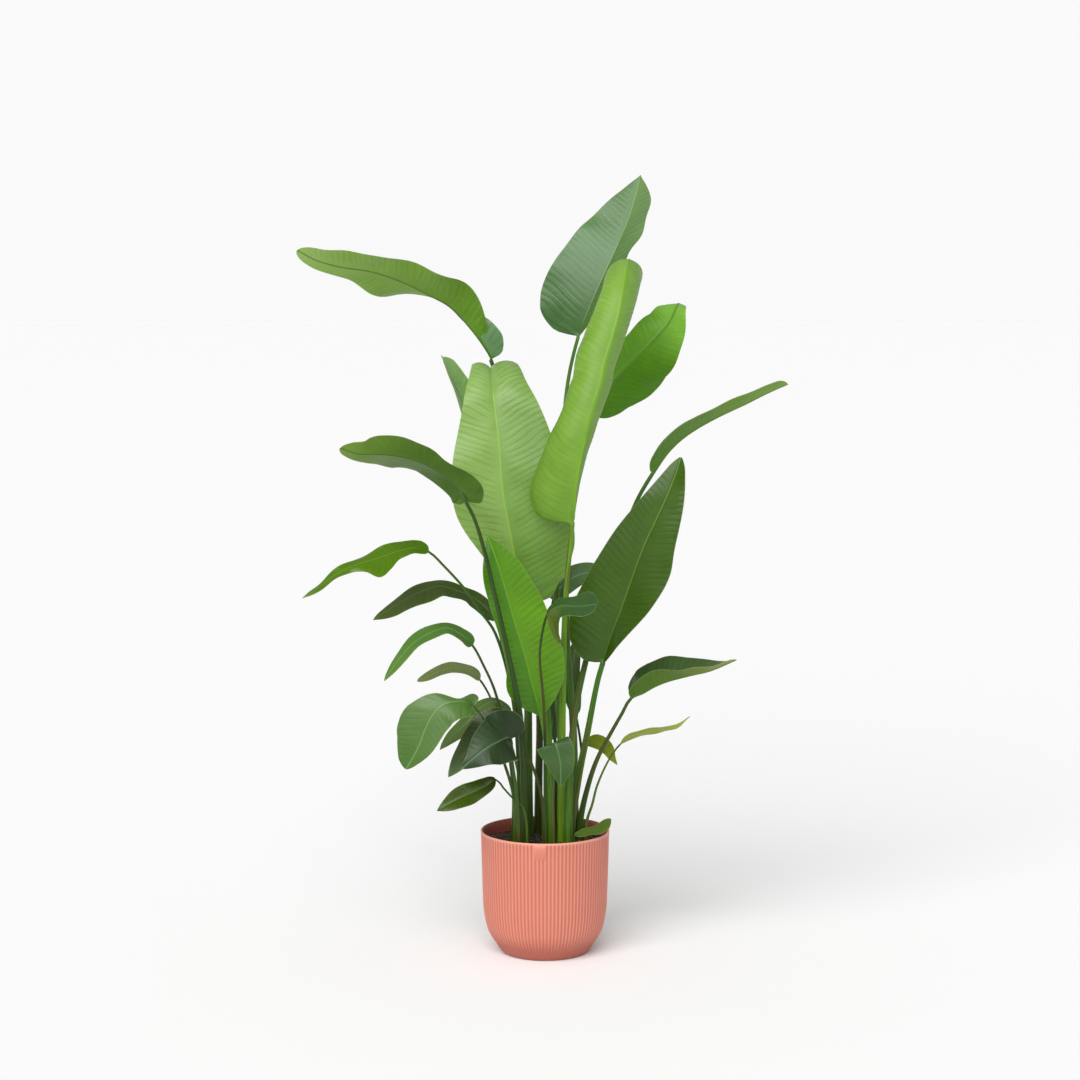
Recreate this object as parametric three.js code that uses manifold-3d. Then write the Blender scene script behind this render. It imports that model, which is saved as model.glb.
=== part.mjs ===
// A potted bird of paradise: a salmon plastic planter with fine upright ribs, the potting soil
// in it, and the plant's leaves, each of them a long stalk with a broad blade at its end.
// Sizes are in millimetres. +Z is up, the pot stands on z = 0 with its axis on Z, and the plant's
// front is -Y.

import * as THREE from "three";
import { mergeVertices } from "three/addons/utils/BufferGeometryUtils.js";
import Module from "manifold-3d";

const wasm = await Module();
wasm.setup();

// The pot: a thin moulded wall, drawn in to a small foot. Its outside goes from the foot to the rim
// through these points of [radius, height].
const POT_OUTSIDE = [[72, 0], [80, 9], [85.5, 17.5], [96.6, 35], [103.5, 61], [106.4, 87], [110, 210]];
const POT_WALL = 3;
const POT_FLOOR = 3;
const POT_HEIGHT = 210;
// Fine ribs run from the foot to just under the rim, inside as well as outside.
const RIB_COUNT = 104;
const RIB_DEPTH = 1;
const RIB_TOP = 206.8;
const RIB_BOTTOM_INSIDE = 186;
// A smooth patch stops the ribs at the middle of the front, a little to the left.
const PATCH_LEFT = -18.6;
const PATCH_RIGHT = 1.4;
const PATCH_BOTTOM = 182;
const PATCH_EDGE = 0.6;

// The soil fills the pot to a little below the rim, and keeps a hair's gap to the wall.
const SOIL_TOP = 190;
const SOIL_GAP = 0.6;
const SOIL_SIDES = 40;
// Each stalk stands in a plain hole in the soil.
const STALK_FOOT = 160;
const HOLE_FLOOR = 159.7;
const HOLE_GAP = 1;
const HOLE_SIDES = 10;

// A blade is a skin of this thickness, with its midrib standing out on the underside.
const BLADE_THICKNESS = 1.2;
const MIDRIB_TIP_RADIUS = 0.8;
const NARROWEST_TIP = 1;
// A blade rounds in to the stalk over the first part of its length and to the tip over the last.
const ROUND_BASE = 0.09;
const ROUND_TIP = 0.06;
const TIP_END = 0.995;

// The leaves. A stalk is a curve through its points from the foot up, and the blade's midrib goes
// on from it through the points of rib. face holds the way that the blade's upper side looks, along
// the blade. width, fold, curl and lobe each hold one side of the blade, then the other, because the
// two halves differ:
//   width  how far the half reaches out from the midrib, at even steps from base to tip
//   fold   how far the half is raised from flat at the midrib, in degrees, at even steps
//   curl   how far it turns on from there to its margin, in degrees, at even steps
//   lobe   how far its base reaches back along the stalk
// wave is the height and the number of the margin's waves, and radius is the stalk's radius at its
// foot and at the blade. grain says how finely the leaf is divided: along the stalk, along the blade
// and across it.
const FEW_ACROSS = [-1, -0.5, 0, 0.5, 1];
const MORE_ACROSS = [-1, -0.55, -0.12, 0, 0.12, 0.55, 1];
const CURLED_ACROSS = [-1, -0.7, -0.4, -0.12, 0, 0.12, 0.34, 0.56, 0.78, 1];
const SMALL = { stalkRings: 4, bladeRings: 8, across: FEW_ACROSS };
const LARGE = { stalkRings: 6, bladeRings: 13, across: MORE_ACROSS };
const CURLED = { stalkRings: 6, bladeRings: 15, across: CURLED_ACROSS };

const LEAVES = [
  {
    name: "leaf_tall_back",
    stalk: [[30, 45, 160], [31, 49, 281], [19, 82, 525], [26, 112, 765], [38, 120, 958],
      [57, 112, 1046]],
    rib: [[74, 109, 1092], [98, 115, 1146], [122, 131, 1197], [146, 157, 1253], [166, 189, 1322]],
    face: [[-0.2, -0.95, 0.3], [-0.25, -0.9, 0.3], [-0.3, -0.95, 0.1]],
    width: [[66, 90, 89, 80, 64, 39, 2], [60, 66, 62, 54, 47, 37, 2]],
    fold: [[5, 5, 5, 5], [75, 55, 42, 30, 20]],
    lobe: [10, 8], wave: [3, 4], radius: [8, 3], colour: 0x739b82, grain: LARGE,
  },
  {
    name: "leaf_arch_left",
    stalk: [[-19, 39, 160], [-19, 45, 269], [-21, 54, 390], [-26, 66, 527], [-46, 80, 768],
      [-73, 77, 923], [-92, 67, 1008]],
    rib: [[-107, 61, 1036], [-132, 48, 1070], [-160, 32, 1101], [-199, 8, 1123], [-248, -24, 1147],
      [-291, -51, 1161], [-334, -77, 1168], [-375, -96, 1180], [-404, -109, 1196]],
    face: [[-0.3, 0.75, 0.6], [0, 0.65, 0.76], [0, 0.65, 0.76], [0, 0.6, 0.8]],
    width: [[60, 36, 60, 53, 46, 42, 20], [10, 18, 42, 58, 43, 24, 16]],
    fold: [[10, 5, 0, 0, 0], [60, 42, 5, 0, 0]],
    curl: [[-190, -20, 0, 0, 0, 0, 0], [0, 0]],
    lobe: [8, 4], wave: [3, 4], radius: [7.5, 3], colour: 0x6e9682, grain: LARGE,
  },
  {
    name: "leaf_rolled",
    stalk: [[27, -12, 160], [29, -33, 406], [34, -98, 623], [44, -158, 753]],
    rib: [[45, -171, 785], [50, -186, 829], [57, -194, 870], [67, -194, 907], [80, -187, 950],
      [91, -176, 985], [98, -162, 1017], [109, -147, 1051], [121, -131, 1095], [128, -112, 1131],
      [134, -80, 1163], [139, -32, 1179], [144, 24, 1170], [147, 72, 1135]],
    face: [[0, 1, 0], [0, 1, 0], [0, 1, 0.1], [0, 1, 0.1], [0, 0.8, -0.5], [0, -0.2, -1]],
    width: [[70, 70, 75, 80, 86, 74, 40], [100, 98, 85, 81, 72, 64, 36]],
    fold: [[82, 76, 70, 73, 54, 30], [-15, -15, -15, -15, -10, 0]],
    curl: [[10, 10, 10, 10, 30, 60], [80, 125, 130, 135, 140, 120]],
    lobe: [6, 22], wave: [2, 3], radius: [8, 4], colour: 0x7da06e, grain: CURLED,
  },
  {
    name: "leaf_front",
    stalk: [[6, 2, 160], [8, -4, 292], [2, -24, 439], [-24, -61, 606]],
    rib: [[-35, -69, 632], [-47, -78, 672], [-57, -90, 725], [-68, -96, 784], [-73, -98, 829],
      [-76, -94, 873], [-81, -86, 917], [-86, -74, 959], [-90, -42, 989], [-92, 0, 999],
      [-95, 42, 979], [-97, 74, 947]],
    face: [[0.1, -0.95, 0.1], [0.05, -1, 0.1], [0, -1, 0.15], [0, -0.9, 0.4], [0, -0.3, 0.95],
      [0, 0.8, 0.6]],
    width: [[10, 46, 82, 75, 48, 30, 4], [60, 101, 104, 91, 66, 41, 4]],
    fold: [[0, 5, 5, 10, 46, 44], [0, 0, 5, 10, 46, 44]],
    curl: [[0, 0, 0, -20, -75, -60], [0, 0, 0, -20, -75, -60]],
    lobe: [10, 14], wave: [3, 5], radius: [8, 4], colour: 0x82af5f, grain: LARGE,
  },
  {
    name: "leaf_back_right",
    stalk: [[40, 30, 160], [43, 38, 306], [36, 60, 528], [39, 77, 699], [60, 83, 836], [84, 83, 908]],
    rib: [[101, 80, 950], [124, 77, 984], [153, 74, 1013], [184, 77, 1042], [210, 86, 1069],
      [226, 115, 1098], [231, 154, 1102]],
    face: [[-0.4, 0.85, 0.3], [-0.4, 0.85, 0.3], [-0.4, 0.85, 0.3], [-0.3, 0.6, -0.6], [-0.1, 0, -1]],
    width: [[36, 68, 86, 78, 44, 19, 12], [14, 28, 34, 38, 40, 33, 14]],
    fold: [[5, 5, 5], [15, 5, 5]],
    curl: [[0, 0, 0], [20, 30, 30]],
    lobe: [0, 0], wave: [2, 3], radius: [7, 3.5], colour: 0x78a55a, grain: LARGE,
  },
  {
    name: "leaf_back_left",
    stalk: [[-38, 58, 160], [-29, 62, 266], [-33, 86, 419], [-43, 111, 591], [-78, 136, 762],
      [-100, 141, 849]],
    rib: [[-116, 141, 892], [-137, 144, 944], [-156, 152, 983], [-170, 163, 1011]],
    face: [[0.5, -0.6, 0.5], [0.8, -0.3, 0.6]],
    width: [[32, 40, 44, 44, 40, 32, 12], [20, 28, 32, 32, 28, 20, 6]],
    fold: [[20], [20]],
    lobe: [0, 0], wave: [0, 1], radius: [5, 2.5], colour: 0x78a550, grain: SMALL,
  },
  {
    name: "leaf_mid_left",
    stalk: [[-36, -48, 160], [-34, -54, 273], [-42, -101, 422], [-64, -157, 553], [-82, -172, 636],
      [-98, -186, 709], [-115, -194, 766], [-128, -194, 792]],
    rib: [[-140, -186, 813], [-160, -192, 838], [-187, -205, 857], [-212, -221, 869],
      [-242, -237, 877], [-269, -250, 878], [-297, -259, 879], [-325, -269, 886]],
    face: [[-0.5, 0.6, 0.6], [0, 0.6, 0.8], [0, 0.6, 0.8], [0, 0.55, 0.85]],
    width: [[38, 32, 29, 40, 50, 44, 20], [18, 32, 52, 62, 56, 31, 16]],
    fold: [[0, 5, 5], [30, 15, 5]],
    lobe: [18, 4], wave: [2, 3], radius: [8.5, 2.8], colour: 0x648c50, grain: LARGE,
  },
  {
    name: "leaf_low_left",
    stalk: [[-50, -20, 160], [-44, -24, 266], [-54, -54, 444], [-83, -92, 563], [-106, -105, 600],
      [-131, -120, 639], [-166, -131, 680], [-190, -139, 704]],
    rib: [[-213, -142, 711], [-241, -147, 707], [-273, -153, 696], [-306, -160, 687],
      [-342, -172, 671], [-369, -181, 651], [-395, -186, 635]],
    face: [[-0.3, -0.5, 0.8], [-0.3, -0.5, 0.8], [-0.3, -0.5, 0.8]],
    width: [[10, 14, 16, 22, 38, 42, 26, 14, 13, 11, 9, 6, 1], [14, 22, 23, 17, 12, 8, 1]],
    fold: [[-5, -15, -5], [10, 5, 0]],
    lobe: [0, 0], wave: [3, 3], radius: [4.5, 2], colour: 0x5f911e, grain: SMALL,
  },
  {
    name: "leaf_grey_left",
    stalk: [[-46, 14, 160], [-41, 10, 277], [-54, -10, 436], [-71, -27, 525], [-82, -40, 574]],
    rib: [[-99, -44, 598], [-122, -47, 618], [-146, -54, 629], [-176, -60, 638], [-209, -69, 629],
      [-245, -76, 610], [-286, -83, 584]],
    face: [[-0.6, -0.5, 0.6], [-0.3, -0.45, 0.85], [-0.2, -0.4, 0.9]],
    width: [[12, 15, 19, 30, 32, 24, 3], [12, 13, 14, 19, 20, 15, 3]],
    fold: [[-5, -5, -10], [10, 5, 0]],
    lobe: [0, 0], wave: [2, 3], radius: [4.5, 2], colour: 0x5f6e4b, grain: SMALL,
  },
  {
    name: "leaf_droop_left",
    stalk: [[-58, 2, 160], [-53, -18, 265], [-63, -49, 366], [-84, -77, 463], [-102, -89, 507],
      [-120, -101, 543]],
    rib: [[-138, -108, 562], [-162, -115, 575], [-187, -120, 569], [-215, -123, 553],
      [-240, -126, 527], [-266, -125, 488]],
    face: [[-0.3, -0.5, 0.8], [-0.3, -0.5, 0.85], [-0.5, -0.5, 0.7]],
    width: [[12, 14, 14, 15, 16, 12, 2], [14, 15, 15, 17, 16, 12, 2]],
    fold: [[0, -5, -10], [5, 5, 0]],
    lobe: [0, 0], wave: [2, 2], radius: [4, 2], colour: 0x73915f, grain: SMALL,
  },
  {
    name: "leaf_small_left",
    stalk: [[-60, 22, 160], [-43, 20, 275], [-63, 5, 373], [-88, -10, 431], [-110, -20, 472]],
    rib: [[-130, -23, 488], [-152, -26, 494], [-177, -29, 489], [-216, -31, 472]],
    face: [[-0.2, -0.35, 0.9], [-0.2, -0.35, 0.9]],
    width: [[8, 12, 13, 15, 16, 13, 4], [12, 17, 16, 17, 17, 13, 4]],
    fold: [[0, -5], [5, 5]],
    lobe: [0, 0], wave: [1, 2], radius: [3.6, 1.8], colour: 0x828c5f, grain: SMALL,
  },
  {
    name: "leaf_wide_left",
    stalk: [[-52, -36, 160], [-52, -56, 273], [-67, -87, 339], [-85, -136, 393], [-101, -146, 427],
      [-117, -162, 451]],
    rib: [[-131, -176, 462], [-155, -184, 463], [-175, -188, 454], [-188, -188, 436],
      [-198, -183, 414], [-208, -175, 387], [-229, -160, 347]],
    face: [[0.3, -0.5, 0.8], [0.1, -0.8, 0.6], [-0.1, -0.95, 0.3], [-0.2, -0.97, 0.1]],
    width: [[20, 34, 37, 34, 29, 18, 4], [34, 6, 33, 47, 43, 33, 10]],
    fold: [[0, 5, 5], [0, 5, 5]],
    curl: [[0, 0], [120, 10, 0, 0, 0, 0, 0]],
    lobe: [8, 4], wave: [2, 2], radius: [4.2, 2], colour: 0x69916e, grain: SMALL,
  },
  {
    name: "leaf_behind_left",
    stalk: [[-38, -4, 160], [-34, -2, 262], [-43, -13, 351], [-59, -31, 412]],
    rib: [[-69, -39, 431], [-88, -49, 440], [-109, -63, 432], [-129, -75, 410], [-154, -84, 390],
      [-176, -90, 366]],
    face: [[-0.2, -0.6, 0.8], [-0.4, -0.6, 0.7], [-0.5, -0.6, 0.6]],
    width: [[8, 12, 20, 26, 25, 16, 2], [6, 8, 14, 16, 16, 12, 2]],
    fold: [[0, 0], [5, 5]],
    lobe: [0, 0], wave: [1, 2], radius: [4, 2], colour: 0x698250, grain: SMALL,
  },
  {
    name: "leaf_dark_left",
    stalk: [[-44, -64, 160], [-47, -84, 279], [-55, -114, 353], [-57, -135, 393]],
    rib: [[-65, -149, 397], [-76, -162, 394], [-96, -171, 385], [-115, -176, 371], [-138, -177, 351]],
    face: [[-0.1, -0.95, 0.2], [-0.2, -0.97, 0.1], [-0.3, -0.95, 0.1]],
    width: [[36, 42, 38, 34, 24, 14, 2], [42, 48, 44, 34, 22, 10, 2]],
    fold: [[0, 0], [0, 0]],
    lobe: [30, 8], wave: [2, 2], radius: [4.6, 2.2], colour: 0x4b645f, grain: SMALL,
  },
  {
    name: "leaf_shade_left",
    stalk: [[-2, -32, 160], [-5, -36, 269], [-20, -46, 326], [-41, -63, 374], [-60, -85, 402]],
    rib: [[-75, -106, 419], [-93, -112, 414], [-113, -116, 392], [-135, -120, 363], [-161, -122, 326]],
    face: [[0.2, -0.7, 0.6], [-0.3, -0.9, 0.3], [-0.5, -0.85, 0.2]],
    width: [[20, 28, 28, 24, 20, 14, 2], [16, 22, 24, 24, 20, 14, 2]],
    fold: [[0, 0], [0, 0]],
    lobe: [0, 0], wave: [1, 2], radius: [4, 2], colour: 0x2d3c23, grain: SMALL,
  },
  {
    name: "leaf_rim_left",
    stalk: [[-28, -70, 160], [-37, -70, 263], [-56, -74, 282], [-69, -77, 297], [-82, -82, 313]],
    rib: [[-99, -85, 303], [-122, -89, 292], [-149, -94, 281], [-181, -100, 264]],
    face: [[0, -0.75, 0.65], [-0.1, -0.8, 0.6], [-0.1, -0.85, 0.5]],
    width: [[8, 14, 17, 20, 18, 12, 1], [8, 16, 19, 21, 19, 11, 1]],
    fold: [[5, 5], [5, 5]],
    lobe: [0, 0], wave: [1, 2], radius: [2.6, 1.6], colour: 0x5a6e1e, grain: SMALL,
  },
  {
    name: "leaf_bright_middle",
    stalk: [[10, -26, 160], [8, -40, 287], [1, -62, 369], [-7, -76, 419]],
    rib: [[-20, -93, 471], [-33, -112, 526], [-48, -129, 579], [-66, -147, 646], [-79, -154, 691],
      [-95, -147, 733]],
    face: [[0.15, -0.97, 0.1], [0.1, -0.97, 0.1], [0.1, -0.97, 0.2]],
    width: [[6, 42, 34, 31, 32, 28, 2], [8, 50, 64, 60, 52, 36, 2]],
    fold: [[5, -5, 0], [20, 15, 20]],
    lobe: [0, 0], wave: [3, 4], radius: [6.5, 3], colour: 0x5fa014, grain: LARGE,
  },
  {
    name: "leaf_small_middle",
    stalk: [[2, -52, 160], [0, -62, 292], [-2, -111, 440], [-9, -158, 537], [-4, -179, 581],
      [3, -190, 608]],
    rib: [[12, -200, 619], [27, -213, 626], [43, -225, 627], [59, -234, 628], [83, -243, 633]],
    face: [[0.2, -0.5, 0.8], [0.1, -0.62, 0.75], [0, -0.66, 0.72]],
    width: [[16, 22, 22, 24, 30, 30, 16], [60, 50, 28, 22, 22, 22, 12]],
    fold: [[10, 0], [-75, -40, 0, 0]],
    lobe: [2, 44], wave: [1, 2], radius: [4, 2], colour: 0x416e5a, grain: SMALL,
  },
  {
    name: "leaf_right",
    stalk: [[50, -8, 160], [44, -8, 202], [56, -14, 299], [71, -23, 378], [89, -36, 475],
      [97, -40, 504]],
    rib: [[109, -47, 546], [125, -55, 592], [145, -64, 652], [164, -70, 706], [184, -70, 750],
      [202, -67, 789], [217, -61, 826], [226, -54, 853]],
    face: [[-0.2, -0.95, 0.1], [-0.2, -0.95, 0.1], [-0.2, -0.97, 0.1]],
    width: [[50, 78, 74, 62, 47, 30, 8], [16, 33, 56, 62, 49, 31, 8]],
    fold: [[5, 5, 5], [65, 30, 15, 15, 25]],
    lobe: [14, 2], wave: [2, 3], radius: [8.2, 4.4], colour: 0x4b7323, grain: LARGE,
  },
  {
    name: "leaf_narrow_right",
    stalk: [[42, -40, 160], [39, -42, 236], [49, -28, 405], [69, 0, 501], [114, 22, 654],
      [154, 35, 767], [182, 42, 816]],
    rib: [[195, 43, 835], [209, 45, 853], [231, 48, 874], [260, 51, 894], [297, 53, 914],
      [340, 54, 934], [378, 54, 953], [412, 54, 968]],
    face: [[0.1, 0.3, 0.95], [0, 0.35, 0.95], [0, 0.3, 0.95]],
    width: [[26, 42, 50, 52, 50, 46, 36], [18, 32, 40, 40, 36, 32, 24]],
    fold: [[50, 30, 20], [15, 5, 5]],
    curl: [[20, 10], [10, 10]],
    lobe: [2, 0], wave: [1, 3], radius: [8, 3.4], colour: 0x6e9164, grain: LARGE,
  },
  {
    name: "leaf_low_right",
    stalk: [[60, 12, 160], [60, 10, 219], [67, 4, 280], [82, -2, 331], [110, -9, 376], [129, -14, 411],
      [145, -20, 440]],
    rib: [[164, -22, 454], [182, -25, 464], [207, -31, 476], [241, -36, 485], [274, -42, 495],
      [319, -48, 513]],
    face: [[-0.1, 0.35, 0.9], [0, 0.35, 0.95], [0, 0.3, 0.95]],
    width: [[28, 46, 50, 46, 40, 30, 14], [22, 36, 38, 28, 22, 18, 12]],
    fold: [[80, 75, 65, 40, 20], [30, 25, 15, 5]],
    lobe: [0, 0], wave: [2, 3], radius: [6.6, 2.8], colour: 0x4b6955, grain: SMALL,
  },
  {
    name: "leaf_yellow_right",
    stalk: [[70, -14, 160], [71, -16, 228], [80, -18, 257], [88, -22, 290], [108, -30, 337],
      [127, -36, 365]],
    rib: [[143, -39, 378], [169, -41, 385], [197, -44, 391], [222, -44, 396], [244, -45, 415]],
    face: [[0, -0.25, 0.97], [0, -0.2, 0.97], [-0.1, -0.2, 0.97]],
    width: [[6, 12, 14, 14, 10, 6, 1], [6, 12, 14, 12, 10, 6, 1]],
    fold: [[5, 5], [5, 5]],
    lobe: [0, 0], wave: [1, 3], radius: [3.4, 1.6], colour: 0x96a046, grain: SMALL,
  },
  {
    name: "leaf_olive_right",
    stalk: [[58, 36, 160], [55, 36, 254], [58, 32, 316], [72, 24, 352]],
    rib: [[82, 22, 356], [94, 18, 355], [106, 13, 345], [114, 10, 332], [123, 6, 321]],
    face: [[-0.2, -0.6, 0.8], [0.2, -0.7, 0.6], [0.4, -0.7, 0.5]],
    width: [[10, 18, 18, 16, 12, 7, 1], [6, 10, 12, 12, 8, 5, 1]],
    fold: [[0, 0], [0, 0]],
    lobe: [0, 0], wave: [1, 2], radius: [3, 1.6], colour: 0x738228, grain: SMALL,
  },
  {
    name: "leaf_hanging_middle",
    stalk: [[16, -56, 160], [13, -72, 277], [15, -88, 345], [13, -102, 375]],
    rib: [[15, -112, 382], [20, -117, 371], [25, -116, 350], [26, -110, 329], [26, -103, 304]],
    face: [[0, -0.5, 0.9], [0, -0.9, 0.4], [0, -1, 0.1], [0, -1, 0]],
    width: [[22, 27, 27, 24, 19, 10, 1], [27, 32, 29, 24, 18, 9, 1]],
    fold: [[0, 0], [0, 0]],
    lobe: [5, 5], wave: [1, 2], radius: [3.6, 2], colour: 0x50785a, grain: SMALL,
  },
  {
    name: "leaf_rim_right",
    stalk: [[56, -50, 160], [50, -58, 212]],
    rib: [[59, -60, 216], [72, -62, 221], [89, -64, 224], [101, -66, 233], [111, -66, 243]],
    face: [[0, -0.5, 0.85], [0, -0.5, 0.85], [0, -0.5, 0.85]],
    width: [[4, 8, 10, 11, 12, 11, 3], [4, 8, 10, 11, 12, 12, 3]],
    fold: [[0, 0], [0, 0]],
    lobe: [0, 0], wave: [1, 2], radius: [2.4, 1.4], colour: 0x2d5f32, grain: SMALL,
  },
  {
    name: "leaf_gap_back",
    stalk: [[18, 62, 160], [19, 69, 299], [12, 98, 487], [14, 112, 590]],
    rib: [[26, 114, 611], [52, 120, 630], [92, 130, 637], [140, 140, 622]],
    face: [[-0.2, -0.8, 0.6], [0, -0.7, 0.7]],
    width: [[14, 22, 24, 22, 16, 8, 1], [14, 22, 24, 22, 16, 8, 1]],
    fold: [[5, 5], [5, 5]],
    lobe: [0, 0], wave: [1, 2], radius: [4, 2], colour: 0x6e8c78, grain: SMALL,
  },
  {
    name: "leaf_low_back",
    stalk: [[62, 52, 160], [55, 60, 249], [64, 71, 317], [54, 83, 393]],
    rib: [[49, 86, 419], [47, 92, 453], [49, 98, 487], [54, 107, 518], [57, 118, 540]],
    face: [[0, -0.9, 0.3], [0, -0.9, 0.3]],
    width: [[8, 14, 16, 14, 12, 6, 1], [8, 14, 16, 14, 12, 6, 1]],
    fold: [[15, 15], [15, 15]],
    lobe: [0, 0], wave: [1, 2], radius: [4, 2], colour: 0x46642d, grain: SMALL,
  },
  {
    name: "leaf_shade_back",
    stalk: [[-8, 74, 160], [5, 80, 280], [10, 90, 348]],
    rib: [[12, 92, 369], [14, 98, 396], [16, 106, 419], [18, 117, 449]],
    face: [[0, -0.9, 0.3], [0, -0.9, 0.3]],
    width: [[10, 16, 18, 16, 12, 6, 1], [10, 16, 18, 16, 12, 6, 1]],
    fold: [[10, 10], [10, 10]],
    lobe: [0, 0], wave: [1, 2], radius: [3.4, 1.8], colour: 0x4b695a, grain: SMALL,
  },
];

function toGeometry(points, triangles) {
  const geometry = new THREE.BufferGeometry();
  geometry.setAttribute("position", new THREE.Float32BufferAttribute(points.flat(), 3));
  geometry.setIndex(triangles.flat());
  return geometry;
}

function toMesh(name, geometry, colour, roughness) {
  const material = new THREE.MeshStandardMaterial({ color: colour, roughness, metalness: 0 });
  const mesh = new THREE.Mesh(geometry, material);
  mesh.name = name;
  return mesh;
}

// ---- The pot ----

function potRadiusAt(height) {
  const above = POT_OUTSIDE.findIndex(([, z]) => z >= height);
  if (above < 1) return POT_OUTSIDE[0][0];
  const [lowRadius, low] = POT_OUTSIDE[above - 1];
  const [highRadius, high] = POT_OUTSIDE[above];
  return THREE.MathUtils.mapLinear(height, low, high, lowRadius, highRadius);
}

// A ring of the pot's surface: a crest and a valley for each rib, or fewer points where it is plain.
// patched says whether the ring crosses the smooth patch.
function potRing(radius, height, depth, count, patched) {
  const ring = [];
  for (let i = 0; i < count; i++) {
    const angle = (2 * Math.PI * i) / count;
    const x = Math.sin(angle) * radius;
    const onPatch = patched && Math.cos(angle) > 0 && x > PATCH_LEFT && x < PATCH_RIGHT;
    const inward = i % 2 && !onPatch ? depth : 0;
    ring.push([Math.sin(angle) * (radius - inward), -Math.cos(angle) * (radius - inward), height]);
  }
  return ring;
}

// Joins rings into one closed skin, from the middle of the first ring to the middle of the last.
// Neighbouring rings have the same number of points, or one has a whole number of times the other's.
function skinRings(rings) {
  const points = [];
  const triangles = [];
  const starts = rings.map((ring) => {
    points.push(...ring);
    return points.length - ring.length;
  });
  const middle = (ring) => [0, 1, 2].map((n) => ring.reduce((sum, p) => sum + p[n], 0) / ring.length);
  points.push(middle(rings[0]), middle(rings.at(-1)));
  for (let r = 0; r + 1 < rings.length; r++) {
    const lower = rings[r].length;
    const upper = rings[r + 1].length;
    const steps = Math.max(lower, upper);
    for (let i = 0; i < steps; i++) {
      const a = starts[r] + (Math.floor((i * lower) / steps) % lower);
      const b = starts[r] + (Math.floor(((i + 1) * lower) / steps) % lower);
      const c = starts[r + 1] + (Math.floor(((i + 1) * upper) / steps) % upper);
      const d = starts[r + 1] + (Math.floor((i * upper) / steps) % upper);
      if (a !== b) triangles.push([a, b, c]);
      if (c !== d) triangles.push([a, c, d]);
    }
  }
  const first = rings[0].length;
  const last = rings.at(-1).length;
  for (let i = 0; i < first; i++) triangles.push([points.length - 2, (i + 1) % first, i]);
  for (let i = 0; i < last; i++) {
    triangles.push([points.length - 1, starts.at(-1) + i, starts.at(-1) + ((i + 1) % last)]);
  }
  return toGeometry(points, triangles);
}

function makePot() {
  const ribbed = 2 * RIB_COUNT;
  const plain = RIB_COUNT / 2;
  const inside = (height) => potRadiusAt(height) - POT_WALL;
  const rings = [
    potRing(POT_OUTSIDE[0][0], POT_OUTSIDE[0][1], 0, RIB_COUNT),
    potRing(POT_OUTSIDE[1][0], POT_OUTSIDE[1][1], RIB_DEPTH / 2, ribbed),
  ];
  for (const [radius, height] of POT_OUTSIDE.slice(2, -1)) {
    rings.push(potRing(radius, height, RIB_DEPTH, ribbed));
  }
  const patchTop = PATCH_BOTTOM + PATCH_EDGE;
  rings.push(potRing(potRadiusAt(PATCH_BOTTOM), PATCH_BOTTOM, RIB_DEPTH, ribbed));
  rings.push(potRing(potRadiusAt(patchTop), patchTop, RIB_DEPTH, ribbed, true));
  rings.push(potRing(potRadiusAt(RIB_TOP), RIB_TOP, RIB_DEPTH, ribbed, true));
  rings.push(potRing(potRadiusAt(POT_HEIGHT), POT_HEIGHT, 0, ribbed));
  rings.push(potRing(inside(POT_HEIGHT), POT_HEIGHT, 0, ribbed));
  rings.push(potRing(inside(RIB_TOP), RIB_TOP, RIB_DEPTH, ribbed));
  rings.push(potRing(inside(RIB_BOTTOM_INSIDE), RIB_BOTTOM_INSIDE, RIB_DEPTH, ribbed));
  for (const [radius, height] of POT_OUTSIDE.slice(2, -1).reverse()) {
    rings.push(potRing(radius - POT_WALL, height, 0, plain));
  }
  rings.push(potRing(inside(POT_OUTSIDE[1][1]), POT_FLOOR, 0, plain));
  return skinRings(rings);
}

// ---- The leaves ----

// Interpolates a list of numbers or vectors, spread evenly from 0 to 1, in straight lines.
function along(list, s) {
  const place = Math.min(Math.max(s, 0), 1) * (list.length - 1);
  const i = Math.min(Math.floor(place), list.length - 2);
  return list[i].clone().lerp(list[i + 1], place - i);
}

// Interpolates a list of numbers, spread evenly from 0 to 1, in a smooth curve.
function smooth(list, s) {
  if (list.length === 1) return list[0];
  const place = Math.min(Math.max(s, 0), 1) * (list.length - 1);
  const i = Math.min(Math.floor(place), list.length - 2);
  const w = place - i;
  const b = list[i];
  const c = list[i + 1];
  const a = i > 0 ? list[i - 1] : 2 * b - c;
  const d = i + 2 < list.length ? list[i + 2] : 2 * c - b;
  return b + 0.5 * w * (c - a + w * (2 * a - 5 * b + 4 * c - d + w * (3 * (b - c) + d - a)));
}

// The points and directions at the given fractions of a curve's length between two parameters.
function sample(curve, from, to, fractions) {
  const steps = 200;
  const points = [];
  const lengths = [0];
  for (let i = 0; i <= steps; i++) {
    points.push(curve.getPoint(from + ((to - from) * i) / steps));
    if (i) lengths.push(lengths[i - 1] + points[i].distanceTo(points[i - 1]));
  }
  const total = lengths[steps];
  const pointAt = (fraction) => {
    const distance = Math.min(Math.max(fraction, 0), 1) * total;
    const found = lengths.findIndex((length) => length >= distance);
    const i = Math.max(found, 1);
    const part = (distance - lengths[i - 1]) / (lengths[i] - lengths[i - 1]);
    return points[i - 1].clone().lerp(points[i], part);
  };
  const reach = 0.004;
  return fractions.map((s) => ({
    s,
    point: pointAt(s),
    ahead: pointAt(s + reach).sub(pointAt(s - reach)).normalize(),
  }));
}

// The part of a vector that is square to a direction, as a unit vector.
function squareTo(vector, direction) {
  return vector.clone().addScaledVector(direction, -vector.dot(direction)).normalize();
}

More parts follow.
